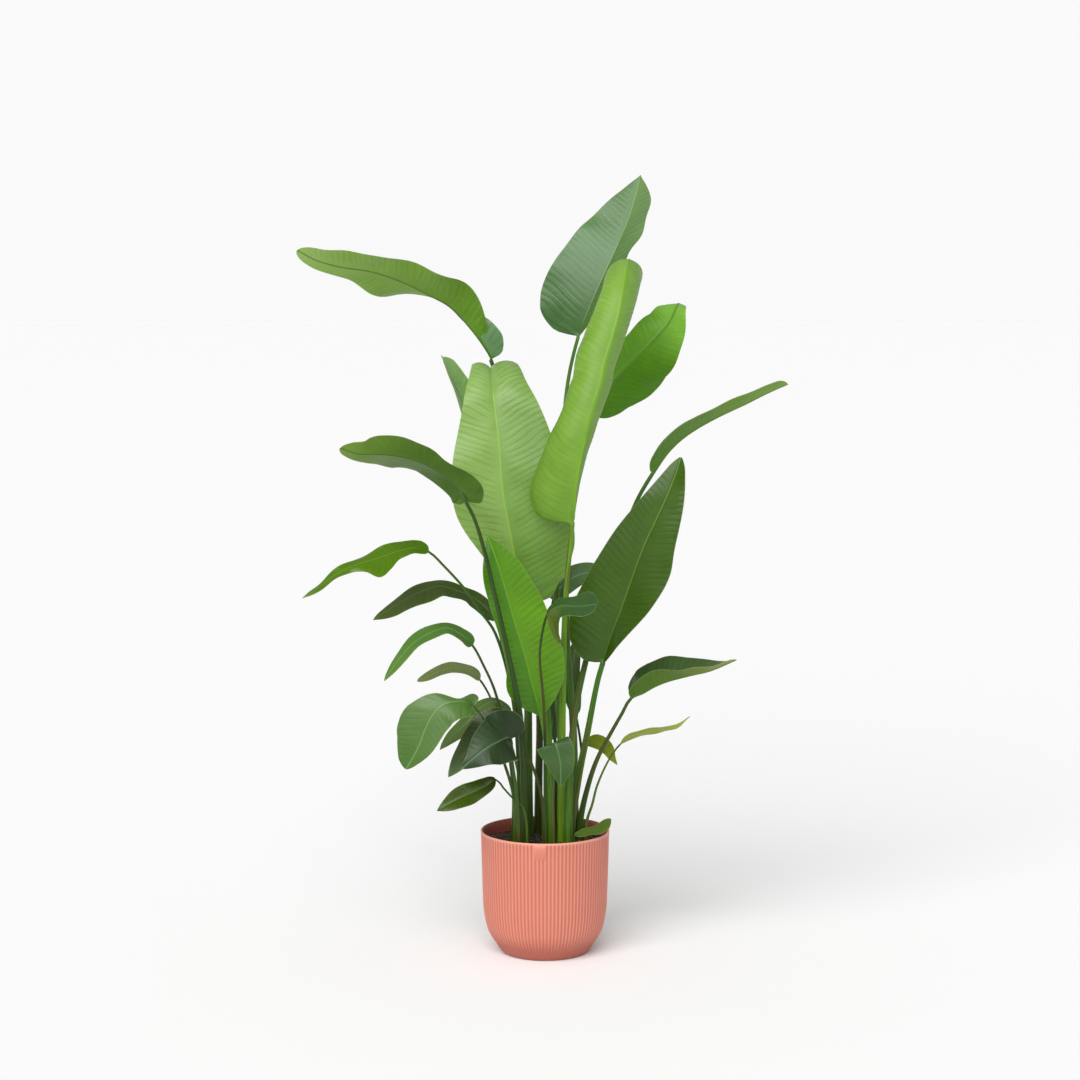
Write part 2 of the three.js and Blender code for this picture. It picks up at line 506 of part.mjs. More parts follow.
// How much of its full width the blade has at s, which rounds its base and its tip.
function rounding(s) {
  const base = Math.min(s / ROUND_BASE, 1);
  const tip = Math.max((s - (1 - ROUND_TIP)) / ROUND_TIP, 0);
  return Math.sqrt(1 - (1 - base) ** 2) * Math.sqrt(Math.max(1 - tip ** 2, 0));
}

// The point of the blade's middle surface at t, which runs from -1 at one margin to 1 at the other,
// and the way that the surface looks there.
function bladePoint(leaf, station, t) {
  const { s, point, ahead, up, side } = station;
  const half = t < 0 ? 0 : 1;
  const sign = t < 0 ? -1 : 1;
  const out = Math.abs(t);
  const width = Math.max(smooth(leaf.width[half], s), NARROWEST_TIP) * rounding(s);
  const fold = THREE.MathUtils.degToRad(smooth(leaf.fold[half], s));
  const bend = leaf.curl ? THREE.MathUtils.degToRad(smooth(leaf.curl[half], s)) : 0;
  const curl = Math.abs(bend) < 1e-3 ? 1e-3 : bend;
  const turned = fold + curl * out;
  const [height, count] = leaf.wave;
  const swell = Math.sqrt(Math.sin(Math.PI * Math.min(Math.max(s, 0), 1)));
  const wave = height * out ** 2 * Math.sin(2 * Math.PI * count * s + 1.7 * half) * swell;
  const sideways = (width * (Math.sin(turned) - Math.sin(fold))) / curl - wave * Math.sin(turned);
  const raised = (width * (Math.cos(fold) - Math.cos(turned))) / curl + wave * Math.cos(turned);
  const back = leaf.lobe[half] * out ** 1.5 * (1 - s) ** 8;
  return {
    at: point.clone().addScaledVector(side, sign * sideways).addScaledVector(up, raised)
      .addScaledVector(ahead, -back),
    look: up.clone().multiplyScalar(Math.cos(turned)).addScaledVector(side, -sign * Math.sin(turned)),
  };
}

// A ring of the stalk, with as many points as a ring of the blade.
function stalkRing(station, radius, count) {
  const ring = [];
  for (let k = 0; k < count; k++) {
    const angle = Math.PI - (2 * Math.PI * (k + 0.5)) / count;
    ring.push(station.point.clone().addScaledVector(station.side, radius * Math.cos(angle))
      .addScaledVector(station.up, radius * Math.sin(angle)));
  }
  return ring;
}

// A ring of the blade: its upper side from margin to margin, then its underside back again.
function bladeRing(leaf, station) {
  const { across } = leaf.grain;
  const midrib = THREE.MathUtils.lerp(leaf.radius[1], MIDRIB_TIP_RADIUS, station.s);
  const upper = [];
  const under = [];
  for (const t of across) {
    const { at, look } = bladePoint(leaf, station, t);
    const below = BLADE_THICKNESS / 2 + (t === 0 ? midrib : 0);
    upper.push(at.clone().addScaledVector(look, BLADE_THICKNESS / 2));
    under.unshift(at.clone().addScaledVector(look, -below));
  }
  return [...upper, ...under];
}

// Where the rings of a leaf's stalk go, from the foot up, each with its radius. Their up vectors
// follow on from the blade's, so that the stalk isn't twisted.
function stalkStations(leaf, fractions) {
  const { stalk, rib, face, radius } = leaf;
  const curve = leafCurve(leaf);
  const last = (stalk.length - 1) / (stalk.length + rib.length - 1);
  const stations = sample(curve, 0, last, fractions);
  let up = new THREE.Vector3(...face[0]);
  for (const station of stations.toReversed()) {
    up = squareTo(up, station.ahead);
    station.up = up;
    station.side = station.ahead.clone().cross(up);
    station.radius = radius[1] + (radius[0] - radius[1]) * (1 - station.s) ** 1.4;
  }
  return stations;
}

// The numbers from 0 to 1 in a number of even steps.
function evenSteps(number) {
  return Array.from({ length: number + 1 }, (_, i) => i / number);
}

function leafCurve({ stalk, rib }) {
  const points = [...stalk, ...rib].map((p) => new THREE.Vector3(...p));
  return new THREE.CatmullRomCurve3(points, false, "centripetal");
}

function makeLeaf(leaf) {
  const { stalk, rib, face, grain } = leaf;
  const count = 2 * grain.across.length;

  const rings = stalkStations(leaf, evenSteps(grain.stalkRings)).map((station) =>
    stalkRing(station, station.radius, count));
  for (const p of rings[0]) p.z = STALK_FOOT;

  const first = (stalk.length - 1) / (stalk.length + rib.length - 1);
  const eased = evenSteps(grain.bladeRings).slice(1).map((u) => (1 - Math.cos(Math.PI * u)) / 2);
  const fractions = eased.map((s) => Math.min(s, TIP_END));
  for (const station of sample(leafCurve(leaf), first, 1, fractions)) {
    const looks = face.map((v) => new THREE.Vector3(...v));
    station.up = squareTo(along(looks, station.s), station.ahead);
    station.side = station.ahead.clone().cross(station.up);
    rings.push(bladeRing(leaf, station));
  }

  // Both faces of the blade are split into the same triangles, so that it is equally thick.
  const points = rings.flat();
  const triangles = [];
  for (let r = 0; r + 1 < rings.length; r++) {
    for (let k = 0; k < count; k++) {
      const a = r * count + k;
      const b = r * count + ((k + 1) % count);
      const c = b + count;
      const d = a + count;
      if (k < count / 2) triangles.push([a, b, c], [a, c, d]);
      else triangles.push([a, b, d], [b, c, d]);
    }
  }
  const middle = (ring) => ring.reduce((sum, p) => sum.add(p), new THREE.Vector3()).divideScalar(count);
  points.push(middle(rings[0]), middle(rings.at(-1)));
  const end = (rings.length - 1) * count;
  for (let k = 0; k < count; k++) {
    const next = (k + 1) % count;
    triangles.push([points.length - 2, next, k], [points.length - 1, end + k, end + next]);
  }
  return toGeometry(points.map((p) => p.toArray()), triangles);
}

// ---- The soil ----

function toSolid(geometry) {
  const plain = geometry.clone();
  plain.deleteAttribute("normal");
  plain.deleteAttribute("uv");
  const merged = mergeVertices(plain, 1e-3);
  return new wasm.Manifold(new wasm.Mesh({
    numProp: 3,
    vertProperties: merged.attributes.position.array,
    triVerts: new Uint32Array(merged.index.array),
  }));
}

function fromSolid(solid) {
  const { vertProperties, triVerts } = solid.getMesh();
  const geometry = new THREE.BufferGeometry();
  geometry.setAttribute("position", new THREE.BufferAttribute(vertProperties, 3));
  geometry.setIndex(new THREE.BufferAttribute(triVerts, 1));
  return geometry;
}

// A hole around a stalk, from just under its foot to just over the soil.
function stalkHole(leaf) {
  const stations = stalkStations(leaf, evenSteps(leaf.grain.stalkRings));
  const over = stations.findIndex(({ point }) => point.z > SOIL_TOP + 1);
  const { point: below } = stations[over - 1];
  const { point: above } = stations[over];
  const part = (SOIL_TOP + 1 - below.z) / (above.z - below.z);
  const centres = [...stations.slice(0, over).map(({ point }) => point), below.clone().lerp(above, part)];
  const rings = centres.map((centre, n) => {
    const ring = [];
    for (let i = 0; i < HOLE_SIDES; i++) {
      const angle = (2 * Math.PI * i) / HOLE_SIDES;
      const reach = leaf.radius[0] + HOLE_GAP;
      const z = n ? centre.z : HOLE_FLOOR;
      ring.push([centre.x + reach * Math.cos(angle), centre.y + reach * Math.sin(angle), z]);
    }
    return ring;
  });
  return skinRings(rings);
}

function makeSoil() {
  const outline = [new THREE.Vector2(0, POT_FLOOR + SOIL_GAP)];
  outline.push(new THREE.Vector2(potRadiusAt(POT_OUTSIDE[1][1]) - POT_WALL - 2, POT_FLOOR + SOIL_GAP));
  for (const [radius, height] of POT_OUTSIDE.slice(2, -1)) {
    outline.push(new THREE.Vector2(radius - POT_WALL - SOIL_GAP, height));
  }
  const top = potRadiusAt(RIB_BOTTOM_INSIDE) - POT_WALL - RIB_DEPTH - SOIL_GAP;
  outline.push(new THREE.Vector2(top, RIB_BOTTOM_INSIDE - 2));
  outline.push(new THREE.Vector2(top, SOIL_TOP));
  outline.push(new THREE.Vector2(0, SOIL_TOP));
  const lathe = new THREE.LatheGeometry(outline, SOIL_SIDES);
  lathe.rotateX(Math.PI / 2);
  let soil = toSolid(lathe);
  for (const leaf of LEAVES) soil = soil.subtract(toSolid(stalkHole(leaf)));
  return fromSolid(soil);
}

// ---- The whole ----

const plant = new THREE.Group();
plant.add(toMesh("pot", makePot(), 0xe4917d, 0.55));
plant.add(toMesh("soil", makeSoil(), 0x241910, 0.95));
for (const leaf of LEAVES) plant.add(toMesh(leaf.name, makeLeaf(leaf), leaf.colour, 0.45));

export default plant;
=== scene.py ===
import math

import bpy
import numpy as np
from mathutils import Matrix, Vector, noise


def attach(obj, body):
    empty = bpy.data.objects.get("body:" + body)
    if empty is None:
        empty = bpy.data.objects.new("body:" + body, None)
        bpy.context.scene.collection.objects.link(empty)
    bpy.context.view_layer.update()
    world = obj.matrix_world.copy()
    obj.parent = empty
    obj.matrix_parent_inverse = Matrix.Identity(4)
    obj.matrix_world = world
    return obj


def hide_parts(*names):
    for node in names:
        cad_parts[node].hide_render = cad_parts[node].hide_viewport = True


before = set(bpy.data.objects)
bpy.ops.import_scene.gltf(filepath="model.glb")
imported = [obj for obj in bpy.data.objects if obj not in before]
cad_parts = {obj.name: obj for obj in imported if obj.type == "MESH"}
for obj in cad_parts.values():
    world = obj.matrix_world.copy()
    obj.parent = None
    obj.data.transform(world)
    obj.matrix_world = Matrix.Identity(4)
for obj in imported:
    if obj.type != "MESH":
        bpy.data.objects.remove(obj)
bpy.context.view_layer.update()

# ---- The studio ----
# The plant is shown cut out on plain white. Here it stands on a wide pale floor under a white sky,
# in a soft light from the front, well above and a little to the left. The camera looks from the
# photo's place and angle.

CAMERA_PLACE = (-0.0086, -4.6, 1.242)
CAMERA_DOWN = 6.62
CAMERA_LENS = 91.43
LIGHT_FROM = (-0.22, -0.72, 0.62)
LIGHT_STRENGTH = 2.8
LIGHT_SPREAD = 50
FLOOR_SIZE, FLOOR_DROP = 60, 0.0006
SKY_DIMS_FROM, SKY_DIMS_TO = 0.1, 0.4
SKY_LOW, SKY_HIGH = 0.95, 0.4


def linear(rgb):
    """A colour of 0 to 255 a channel, as a screen shows it, in linear values with an alpha of 1."""
    shares = [c / 255 for c in rgb]
    return [c / 12.92 if c <= 0.04045 else ((c + 0.055) / 1.055) ** 2.4 for c in shares] + [1]


def new_finish(name, colour, roughness, specular=0.5):
    """A material of one colour, to which the section that makes it adds its detail."""
    finish = bpy.data.materials.new(name)
    finish.use_nodes = True
    shader = finish.node_tree.nodes["Principled BSDF"]
    shader.inputs["Base Color"].default_value = linear(colour)
    shader.inputs["Roughness"].default_value = roughness
    shader.inputs["Specular IOR Level"].default_value = specular
    return finish


def add_node(finish, kind, inputs=None, **settings):
    """A shader node whose inputs are given values, or are fed by other nodes' outputs."""
    node = finish.node_tree.nodes.new("ShaderNode" + kind)
    for name, value in settings.items():
        setattr(node, name, value)
    for place, value in (inputs or {}).items():
        if isinstance(value, bpy.types.NodeSocket):
            finish.node_tree.links.new(value, node.inputs[place])
        else:
            node.inputs[place].default_value = value
    return node


def add_piece(name, add, **sizes):
    """Adds a primitive while nothing else is selected."""
    bpy.ops.object.select_all(action="DESELECT")
    add(**sizes)
    bpy.context.object.name = name
    return bpy.context.object


bpy.context.scene.view_settings.view_transform = "Standard"

add_plane = bpy.ops.mesh.primitive_plane_add
floor = add_piece("studio_floor", add_plane, size=FLOOR_SIZE, location=(0, 0, -FLOOR_DROP))
floor.data.materials.append(new_finish("PaleFloor", colour=(252, 252, 252), roughness=0.9))

sky = bpy.data.worlds.new("PaleSky")
sky.use_nodes = True
upward = add_node(sky, "TexCoord").outputs["Generated"]
upward = add_node(sky, "SeparateXYZ", {0: upward}).outputs["Z"]
dimming = {"From Min": SKY_DIMS_FROM, "From Max": SKY_DIMS_TO, "To Min": SKY_LOW, "To Max": SKY_HIGH}
dimmed = add_node(sky, "MapRange", {"Value": upward, **dimming}).outputs[0]
glow = sky.node_tree.nodes["Background"]
glow.inputs["Color"].default_value = (1, 1, 1, 1)
sky.node_tree.links.new(dimmed, glow.inputs["Strength"])
bpy.context.scene.world = sky

turned = Vector(LIGHT_FROM).to_track_quat("Z", "Y").to_euler()
bpy.ops.object.light_add(type="SUN", rotation=turned)
light = bpy.context.object
light.name = "SoftKeyLight"
light.data.energy = LIGHT_STRENGTH
light.data.angle = math.radians(LIGHT_SPREAD)

bpy.ops.object.camera_add(location=CAMERA_PLACE, rotation=(math.radians(90 - CAMERA_DOWN), 0, 0))
camera = bpy.context.object
camera.data.lens = CAMERA_LENS
camera.data.dof.use_dof = False
bpy.context.scene.camera = camera

# ---- The pot ----
# A planter moulded in satin salmon plastic: a thin, nearly straight wall with fine upright ribs,
# drawn in at the bottom to a small plain foot. The rim's edge is plain, and a small smooth patch
# stops the ribs at the middle of the front.

# Radius and height, in mm, up the outside and down the inside.
POT_OUTSIDE = [
    (72, 0), (73.4, 0.5), (76.2, 3.4), (79.6, 8), (82.6, 12.6), (84.7, 16.2), (85.5, 17.6),
    (86.5, 18.8), (88.6, 21.6), (91.5, 26), (94.3, 30.5), (96.6, 35), (98.6, 39.6), (100, 44),
    (102, 52), (103.5, 61), (105.2, 73), (106.3, 87), (106.9, 105), (107.5, 125),
    (108.2, 150), (109, 178), (109.02, 181.5), (109.06, 182.4), (109.3, 195), (109.8, 206),
    (109.85, 207.2), (109.9, 208.2), (109.9, 209.2), (109.4, 209.9),
]
POT_INSIDE = [
    (107.4, 210), (106.9, 209.6), (106.8, 208.4), (106.8, 207), (106.7, 206), (106.4, 198),
    (106.2, 190), (106, 182), (103.2, 87), (97, 44), (83, 17.6), (76, 6), (70, 3.2),
]
POT_WALL_LEAST = 1.5
RIBS = 104
RIB_DEPTH = 1.0
COLUMNS_IN_A_RIB = 6
GROOVE_POWER = 0.8
RIBS_FADE_IN = (4, 16)
RIBS_FADE_OUT = (206, 207.4)
RIBS_INSIDE_FROM = 184
PATCH_LEFT, PATCH_RIGHT, PATCH_BOTTOM = -18.6, 1.4, 182.0
PATCH_SHADE = 0.5
SMOOTH_UP_TO = math.radians(50)
MM = 0.001

# The pot's finish, in metres and in shares.
PLASTIC_TONES = ((206, 126, 106), (216, 137, 116))
RIM_COLOUR, RIM_HEIGHTS = (222, 148, 128), (0.2, 0.209)
# The foot is painted darker: painted shade where it turns under towards the floor.
FOOT_SHADE_COLOUR, FOOT_SHADE_HEIGHTS = (158, 84, 66), (0.05, 0.0)
# The inner wall is painted darker: painted shade inside the pot.
INSIDE_SHADE_COLOUR, INSIDE_SHADE_REACH, INSIDE_SHADE_HEIGHTS = (136, 62, 52), (0.108, 0.1074), (0.184, 0.188)
INSIDE_SHADE_SHARE = 0.7
# The grooves are painted darker: painted shade between the ribs, and on the smooth patch.
GROOVE_SHADE_COLOUR, GROOVE_SHADE_SHARE = (160, 76, 60), 0.7


def ramp(value, start, end):
    """0 up to start and 1 from end, with a smooth step between."""
    share = np.clip((value - start) / (end - start), 0, 1)
    return share * share * (3 - 2 * share)


def mesh_points(piece):
    """The places of a piece's points, in mm."""
    flat = np.empty(len(piece.data.vertices) * 3)
    piece.data.vertices.foreach_get("co", flat)
    return flat.reshape(-1, 3) / MM


def set_mesh_points(piece, places):
    piece.data.vertices.foreach_set("co", (places * MM).ravel())
    piece.data.update()


def start_editing():
    """Goes to edit mode with the whole mesh selected."""
    bpy.ops.object.mode_set(mode="EDIT")
    bpy.ops.mesh.select_all(action="SELECT")


def finish_editing():
    """Turns every face outwards and goes back to object mode."""
    bpy.ops.mesh.select_all(action="SELECT")
    bpy.ops.mesh.normals_make_consistent(inside=False)
    bpy.ops.object.mode_set(mode="OBJECT")


def reckon(finish, operation, *values):
    """One step of arithmetic in a finish."""
    return add_node(finish, "Math", dict(enumerate(values)), operation=operation).outputs[0]


def times(finish, first, second):
    """The product of two values in a finish."""
    return reckon(finish, "MULTIPLY", first, second)


def blend_of(finish, share, *colours):
    """A blend of two colours, each an output or 0 to 255 a channel, by the share of the second."""
    first, second = (linear(c) if isinstance(c, tuple) else c for c in colours)
    return add_node(finish, "Mix", {0: share, 6: first, 7: second}, data_type="RGBA").outputs[2]


def graded(finish, value, start, end):
    """0 up to start and 1 from end, with a smooth step between, or the other way round."""
    inputs = {"Value": value, "From Min": start, "From Max": end}
    return add_node(finish, "MapRange", inputs, interpolation_type="SMOOTHSTEP").outputs[0]


def object_place(finish):
    """The place on a piece, in metres."""
    return add_node(finish, "TexCoord").outputs["Object"]


def kept(finish, attribute, output):
    """What the mesh keeps for its finish."""
    return add_node(finish, "Attribute", attribute_name=attribute).outputs[output]


def mottle(finish, place, scale, detail):
    """Soft noise about a half."""
    inputs = {"Vector": place, "Scale": scale, "Detail": detail}
    return add_node(finish, "TexNoise", inputs).outputs["Fac"]


def relief(finish, height, strength, depth):
    """The small bumps that a height gives, of a depth in metres."""
    inputs = {"Height": height, "Strength": strength, "Distance": depth}
    return add_node(finish, "Bump", inputs).outputs["Normal"]


def feed(finish, **outputs):
    """Leads outputs to the shader's inputs, named with _ for a space."""
    shader = finish.node_tree.nodes["Principled BSDF"]
    for name, output in outputs.items():
        finish.node_tree.links.new(output, shader.inputs[name.replace("_", " ")])


pot = add_piece(
    "ribbed_pot", bpy.ops.mesh.primitive_circle_add,
    vertices=RIBS * COLUMNS_IN_A_RIB, radius=POT_OUTSIDE[0][0] * MM, fill_type="NGON",
)
start_editing()
last_radius, last_height = POT_OUTSIDE[0]
for radius, height in POT_OUTSIDE[1:] + POT_INSIDE:
    climb = (0, 0, (height - last_height) * MM)
    bpy.ops.mesh.extrude_region_move(TRANSFORM_OT_translate={"value": climb})
    bpy.ops.transform.resize(value=(radius / last_radius, radius / last_radius, 1))
    last_radius, last_height = radius, height
finish_editing()

# The grooves between the ribs are pressed in, and their depth is kept for the finish, which paints shade
# into them.
places = mesh_points(pot)
height = places[:, 2]
reach = np.hypot(places[:, 0], places[:, 1])
angle = np.arctan2(places[:, 0], -places[:, 1])
wall = np.interp(height, [h for _, h in POT_OUTSIDE], [r for r, _ in POT_OUTSIDE])
inside = reach < wall - POT_WALL_LEAST
on_patch = (places[:, 0] > PATCH_LEFT) & (places[:, 0] < PATCH_RIGHT) & (places[:, 1] < 0)
on_patch &= (height > PATCH_BOTTOM) & ~inside
groove = (0.5 - 0.5 * np.cos(angle * RIBS)) ** GROOVE_POWER
groove *= ramp(height, *RIBS_FADE_IN) * (1 - ramp(height, *RIBS_FADE_OUT))
groove[inside & (height < RIBS_INSIDE_FROM)] = 0
groove[on_patch] = 0
places[:, :2] *= (1 - RIB_DEPTH * groove / np.maximum(reach, 1))[:, None]
set_mesh_points(pot, places)
# The smooth patch gets half the grooves' painted shade.
groove[on_patch & (height < RIBS_FADE_OUT[0])] = PATCH_SHADE
depth = pot.data.attributes.new("groove", "FLOAT", "POINT")
depth.data.foreach_set("value", groove.astype(np.float32))
bpy.ops.object.shade_smooth_by_angle(angle=SMOOTH_UP_TO)

plastic = new_finish("SalmonPlastic", colour=(228, 145, 125), roughness=0.48)
spot = object_place(plastic)
spot_height = add_node(plastic, "SeparateXYZ", {0: spot}).outputs["Z"]
tone_and_shade = blend_of(plastic, mottle(plastic, spot, scale=9.0, detail=3.0), *PLASTIC_TONES)
tone_and_shade = blend_of(plastic, graded(plastic, spot_height, *RIM_HEIGHTS), tone_and_shade, RIM_COLOUR)
# Painted shade: darker on the foot, on the inner wall and in the grooves.
tone_and_shade = blend_of(plastic, graded(plastic, spot_height, *FOOT_SHADE_HEIGHTS), tone_and_shade, FOOT_SHADE_COLOUR)
flat_spot = add_node(plastic, "VectorMath", {0: spot, 1: (1, 1, 0)}, operation="MULTIPLY")
from_axis = add_node(plastic, "VectorMath", {0: flat_spot.outputs[0]}, operation="LENGTH")
inner_shade = graded(plastic, from_axis.outputs["Value"], *INSIDE_SHADE_REACH)
inner_shade = times(plastic, inner_shade, INSIDE_SHADE_SHARE)
inner_shade = times(plastic, inner_shade, graded(plastic, spot_height, *INSIDE_SHADE_HEIGHTS))
tone_and_shade = blend_of(plastic, inner_shade, tone_and_shade, INSIDE_SHADE_COLOUR)
groove_shade = times(plastic, kept(plastic, "groove", "Fac"), GROOVE_SHADE_SHARE)
tone_and_shade = blend_of(plastic, groove_shade, tone_and_shade, GROOVE_SHADE_COLOUR)
speck = mottle(plastic, spot, scale=1400.0, detail=2.0)
feed(plastic, Base_Color=tone_and_shade, Normal=relief(plastic, speck, strength=0.12, depth=0.0004))
pot.data.materials.append(plastic)
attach(pot, "root")
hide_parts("pot")

# ---- The soil ----
# Loose dark potting soil that fills the pot to 20 mm under its rim, a little higher round the
# stalks, with crumbs of peat and pale grains lying on it.

SOIL_TOP = 190.0
SOIL_RADIUS = 105.2
SOIL_DEEP = 36.0
SOIL_FACES = 120
ROUGH_SIZE, ROUGH_RISE, ROUGH_SLICE, ROUGH_LAYERS = 24, 2.2, 70, (1.0, 2.0, 4)
LUMP_SIZE, LUMP_RISE, LUMP_SLICE = 7, 2.4, 130
HEAP_REACH, HEAP_RISE = 60, 1.8
SOIL_SUNK, MOST_RISE = 1.6, 4.5
CRUMB_SEED = 11
CRUMB_KINDS = ((430, (1.0, 3.4), (0.15, 0.15)), (130, (0.6, 1.5), (0.85, 1.0)))
CRUMBS_INSET = 3
CRUMB_STRETCH, CRUMB_HEIGHT, CRUMB_LIFT = (0.6, 1.3), 0.6, 0.3
MOST_CRUMB_TURN = 6.28
CRUMB_SMOOTH_UP_TO = math.radians(60)

PEAT_COLOURS = ((24, 17, 11), (62, 46, 31))
PEAT_LUMPS = (0.35, 0.7)
DOT_COLOUR, DOT_SPREAD, DOT_SHARE = (140, 122, 100), (0.93, 0.99), 0.7
PALE_COLOUR = (158, 142, 118)


def soil_height(x, y):
    """How high the soil lies at a place, in mm."""
    rough = ROUGH_RISE * noise.fractal(Vector((x, y, ROUGH_SLICE)) / ROUGH_SIZE, *ROUGH_LAYERS)
    lump = LUMP_RISE * max(noise.noise(Vector((x, y, LUMP_SLICE)) / LUMP_SIZE), 0)
    heap = HEAP_RISE * math.exp(-(x * x + y * y) / HEAP_REACH**2)
    return SOIL_TOP + min(rough + lump + heap - SOIL_SUNK, MOST_RISE)


# A square grid is drawn in to a round one.
add_grid = bpy.ops.mesh.primitive_grid_add
soil = add_piece("loose_soil", add_grid, x_subdivisions=SOIL_FACES, y_subdivisions=SOIL_FACES, size=2)
places = mesh_points(soil) * MM
for place in places:
    x, y = place[:2]
    spread = max(abs(x), abs(y)) / max(math.hypot(x, y), 1e-9) * SOIL_RADIUS
    place[:] = x * spread, y * spread, soil_height(x * spread, y * spread)
set_mesh_points(soil, places)
start_editing()
bpy.ops.mesh.extrude_region_move(TRANSFORM_OT_translate={"value": (0, 0, -SOIL_DEEP * MM)})
finish_editing()
soil.data.attributes.new("pale", "FLOAT", "POINT")

# Dark crumbs and pale grains, each kind with its number, its sizes in mm and how pale it is.
draw = np.random.default_rng(CRUMB_SEED)
scattered = []
for number, sizes, tones in CRUMB_KINDS:
    first = add_piece("crumb", bpy.ops.mesh.primitive_ico_sphere_add, subdivisions=1, radius=MM)
    first.data.attributes.new("pale", "FLOAT", "POINT")
    for _ in range(number):
        away = (SOIL_RADIUS - CRUMBS_INSET) * math.sqrt(draw.random())
        turn = draw.random() * 2 * math.pi
        x, y = away * math.cos(turn), away * math.sin(turn)
        size = draw.uniform(*sizes)
        crumb = first.copy()
        crumb.data = first.data.copy()
        bpy.context.collection.objects.link(crumb)
        squashed = Matrix.Diagonal((*draw.uniform(*CRUMB_STRETCH, 2) * size, CRUMB_HEIGHT * size, 1))
        lying = Matrix.Rotation(draw.random() * MOST_CRUMB_TURN, 4, "Z")
        lying = lying @ Matrix.Rotation(draw.random(), 4, "X")
        lift = Matrix.Translation(Vector((x, y, soil_height(x, y) + CRUMB_LIFT * size)) * MM)
        crumb.data.transform(lift @ lying @ squashed)
        tone = draw.uniform(*tones)
        crumb.data.attributes["pale"].data.foreach_set("value", [tone] * len(crumb.data.vertices))
        scattered.append(crumb)
    bpy.data.objects.remove(first)
bpy.ops.object.select_all(action="DESELECT")
for crumb in scattered:
    crumb.select_set(True)
soil.select_set(True)
bpy.context.view_layer.objects.active = soil
bpy.ops.object.join()
bpy.ops.object.shade_smooth_by_angle(angle=CRUMB_SMOOTH_UP_TO)

peat = new_finish("DarkPeat", colour=(38, 28, 18), roughness=0.95)
spot = object_place(peat)
lumps = mottle(peat, spot, scale=160.0, detail=6.0)
dots = add_node(peat, "TexVoronoi", {"Vector": spot, "Scale": 330.0}).outputs["Color"]
dots = graded(peat, add_node(peat, "SeparateColor", {0: dots}).outputs[0], *DOT_SPREAD)
grainy = blend_of(peat, graded(peat, lumps, *PEAT_LUMPS), *PEAT_COLOURS)
grainy = blend_of(peat, times(peat, dots, DOT_SHARE), grainy, DOT_COLOUR)
grainy = blend_of(peat, kept(peat, "pale", "Fac"), grainy, PALE_COLOUR)
feed(peat, Base_Color=grainy, Normal=relief(peat, lumps, strength=0.9, depth=0.003))
soil.data.materials.append(peat)
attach(soil, "root")
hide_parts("soil")

# ---- The tall leaves ----
# Each leaf grew as one piece. Its stalk comes out of the soil and runs on as the blade's midrib, a
# ridge underneath. The blade is a leathery sheet, pleated along its veins, that folds, curls and
# waves. These six are the highest: two at the front, and four behind, one arching far to the left.

# The blade and the stalk, in mm and in shares of their lengths.
HALF_THICKNESS = 0.45
MARGIN_THICKNESS, MARGIN_THINS_OVER = 0.3, 12
VEIN_GAP = 10.5
VEIN_SLOPES = (0.3, 0.32)
VEIN_DRIFT, DRIFT_SIZES = 5.0, (60, 26)
SWELLING, SWELLING_SIZES, SWELLING_SLICE = 1.4, (30, 42), 5
NOISE_STEP = 37
PLEAT_LEAN = 0.45
PLEATS_OFF_RIB, PLEATS_OFF_MARGIN = (4, 22), (0, 8)
PLEATS_OFF_BASE, PLEATS_OFF_TIP = (0.02, 0.1), (0.9, 1)
ROUND_BASE, ROUND_TIP, TIP_SHORT = 0.09, 0.06, 0.0004
LOBE_POWER, LOBE_FADE = 1.5, 8
WAVE_LAG = 1.7
LEAST_CURL = 1e-3
NARROWEST = 1.0
RIB_TIP_RADIUS = 0.8
RIDGE_WIDTH = 0.9
RIB_GROOVE_DEPTH, RIB_GROOVE_WIDTH = 0.35, 2.2
STALK_FOOT = 160.0
STALK_TAPER = 1.4
CHANNEL_DEPTH, CHANNEL_WIDTH, CHANNEL_STARTS = 0.3, 0.5, (0.05, 0.4)
STALK_MERGES_BY = 0.02

# How finely a leaf is made.
CURVE_STEPS, CURVE_NEARBY = 401, 0.004
COLUMNS, COLUMN_CROWDING = 29, 1.3
STALK_STEP, FEWEST_STALK_RINGS = 9.0, 8
END_RINGS = 14
BLADE_STEP, BLADE_MIDDLE, FEWEST_RINGS = 2.2, 0.85, 12
LEAVES_APART = 160
MERGE_WITHIN = 1e-6

# The leaves' finishes, in metres and in shares.
LEAF_DEEP, LEAF_LIGHT = {"Saturation": 1.3, "Value": 0.6}, {"Saturation": 1.02, "Value": 1.38}
LEAF_SHARE, PLEAT_LINES_AND_SHADE_SHARE, FINE_SHARE, CLOUD_SHARE, HAIR_SHARE = 0.47, 0.5, 0.22, 0.5, 0.16
FINE_ALONG, FINE_ACROSS = 430.0, 12.0
# The pleat tops' pale lines are partly painted highlight, and the troughs after them painted shade.
CREST_LINE_AND_HIGHLIGHT, CREST_LINE_AND_HIGHLIGHT_SHARE, TROUGH_SHADE, TROUGH_SHADE_END = (0.13, 0.0), 0.9, (0.5, 0.95), (1.0, 0.96)
VEIN_LINES_AND_SHADE_OFF_RIB = (0.003, 0.02)
HAIR_LINES, HAIR_PATCHES = (0.56, 0.72), (0.35, 0.6)
MARGIN_COLOUR, MARGIN_WIDTH, MARGIN_SHARE = (165, 172, 110), (0.0012, 0.0003), 0.25
RIB_EDGES, RIB_SHARE = (1.5, 0.7), 0.8
RIPPLE_CLOUD, GLOSS_CLOUD = 0.6, 0.3
STALK_TINT_ON_RIB = 0.15
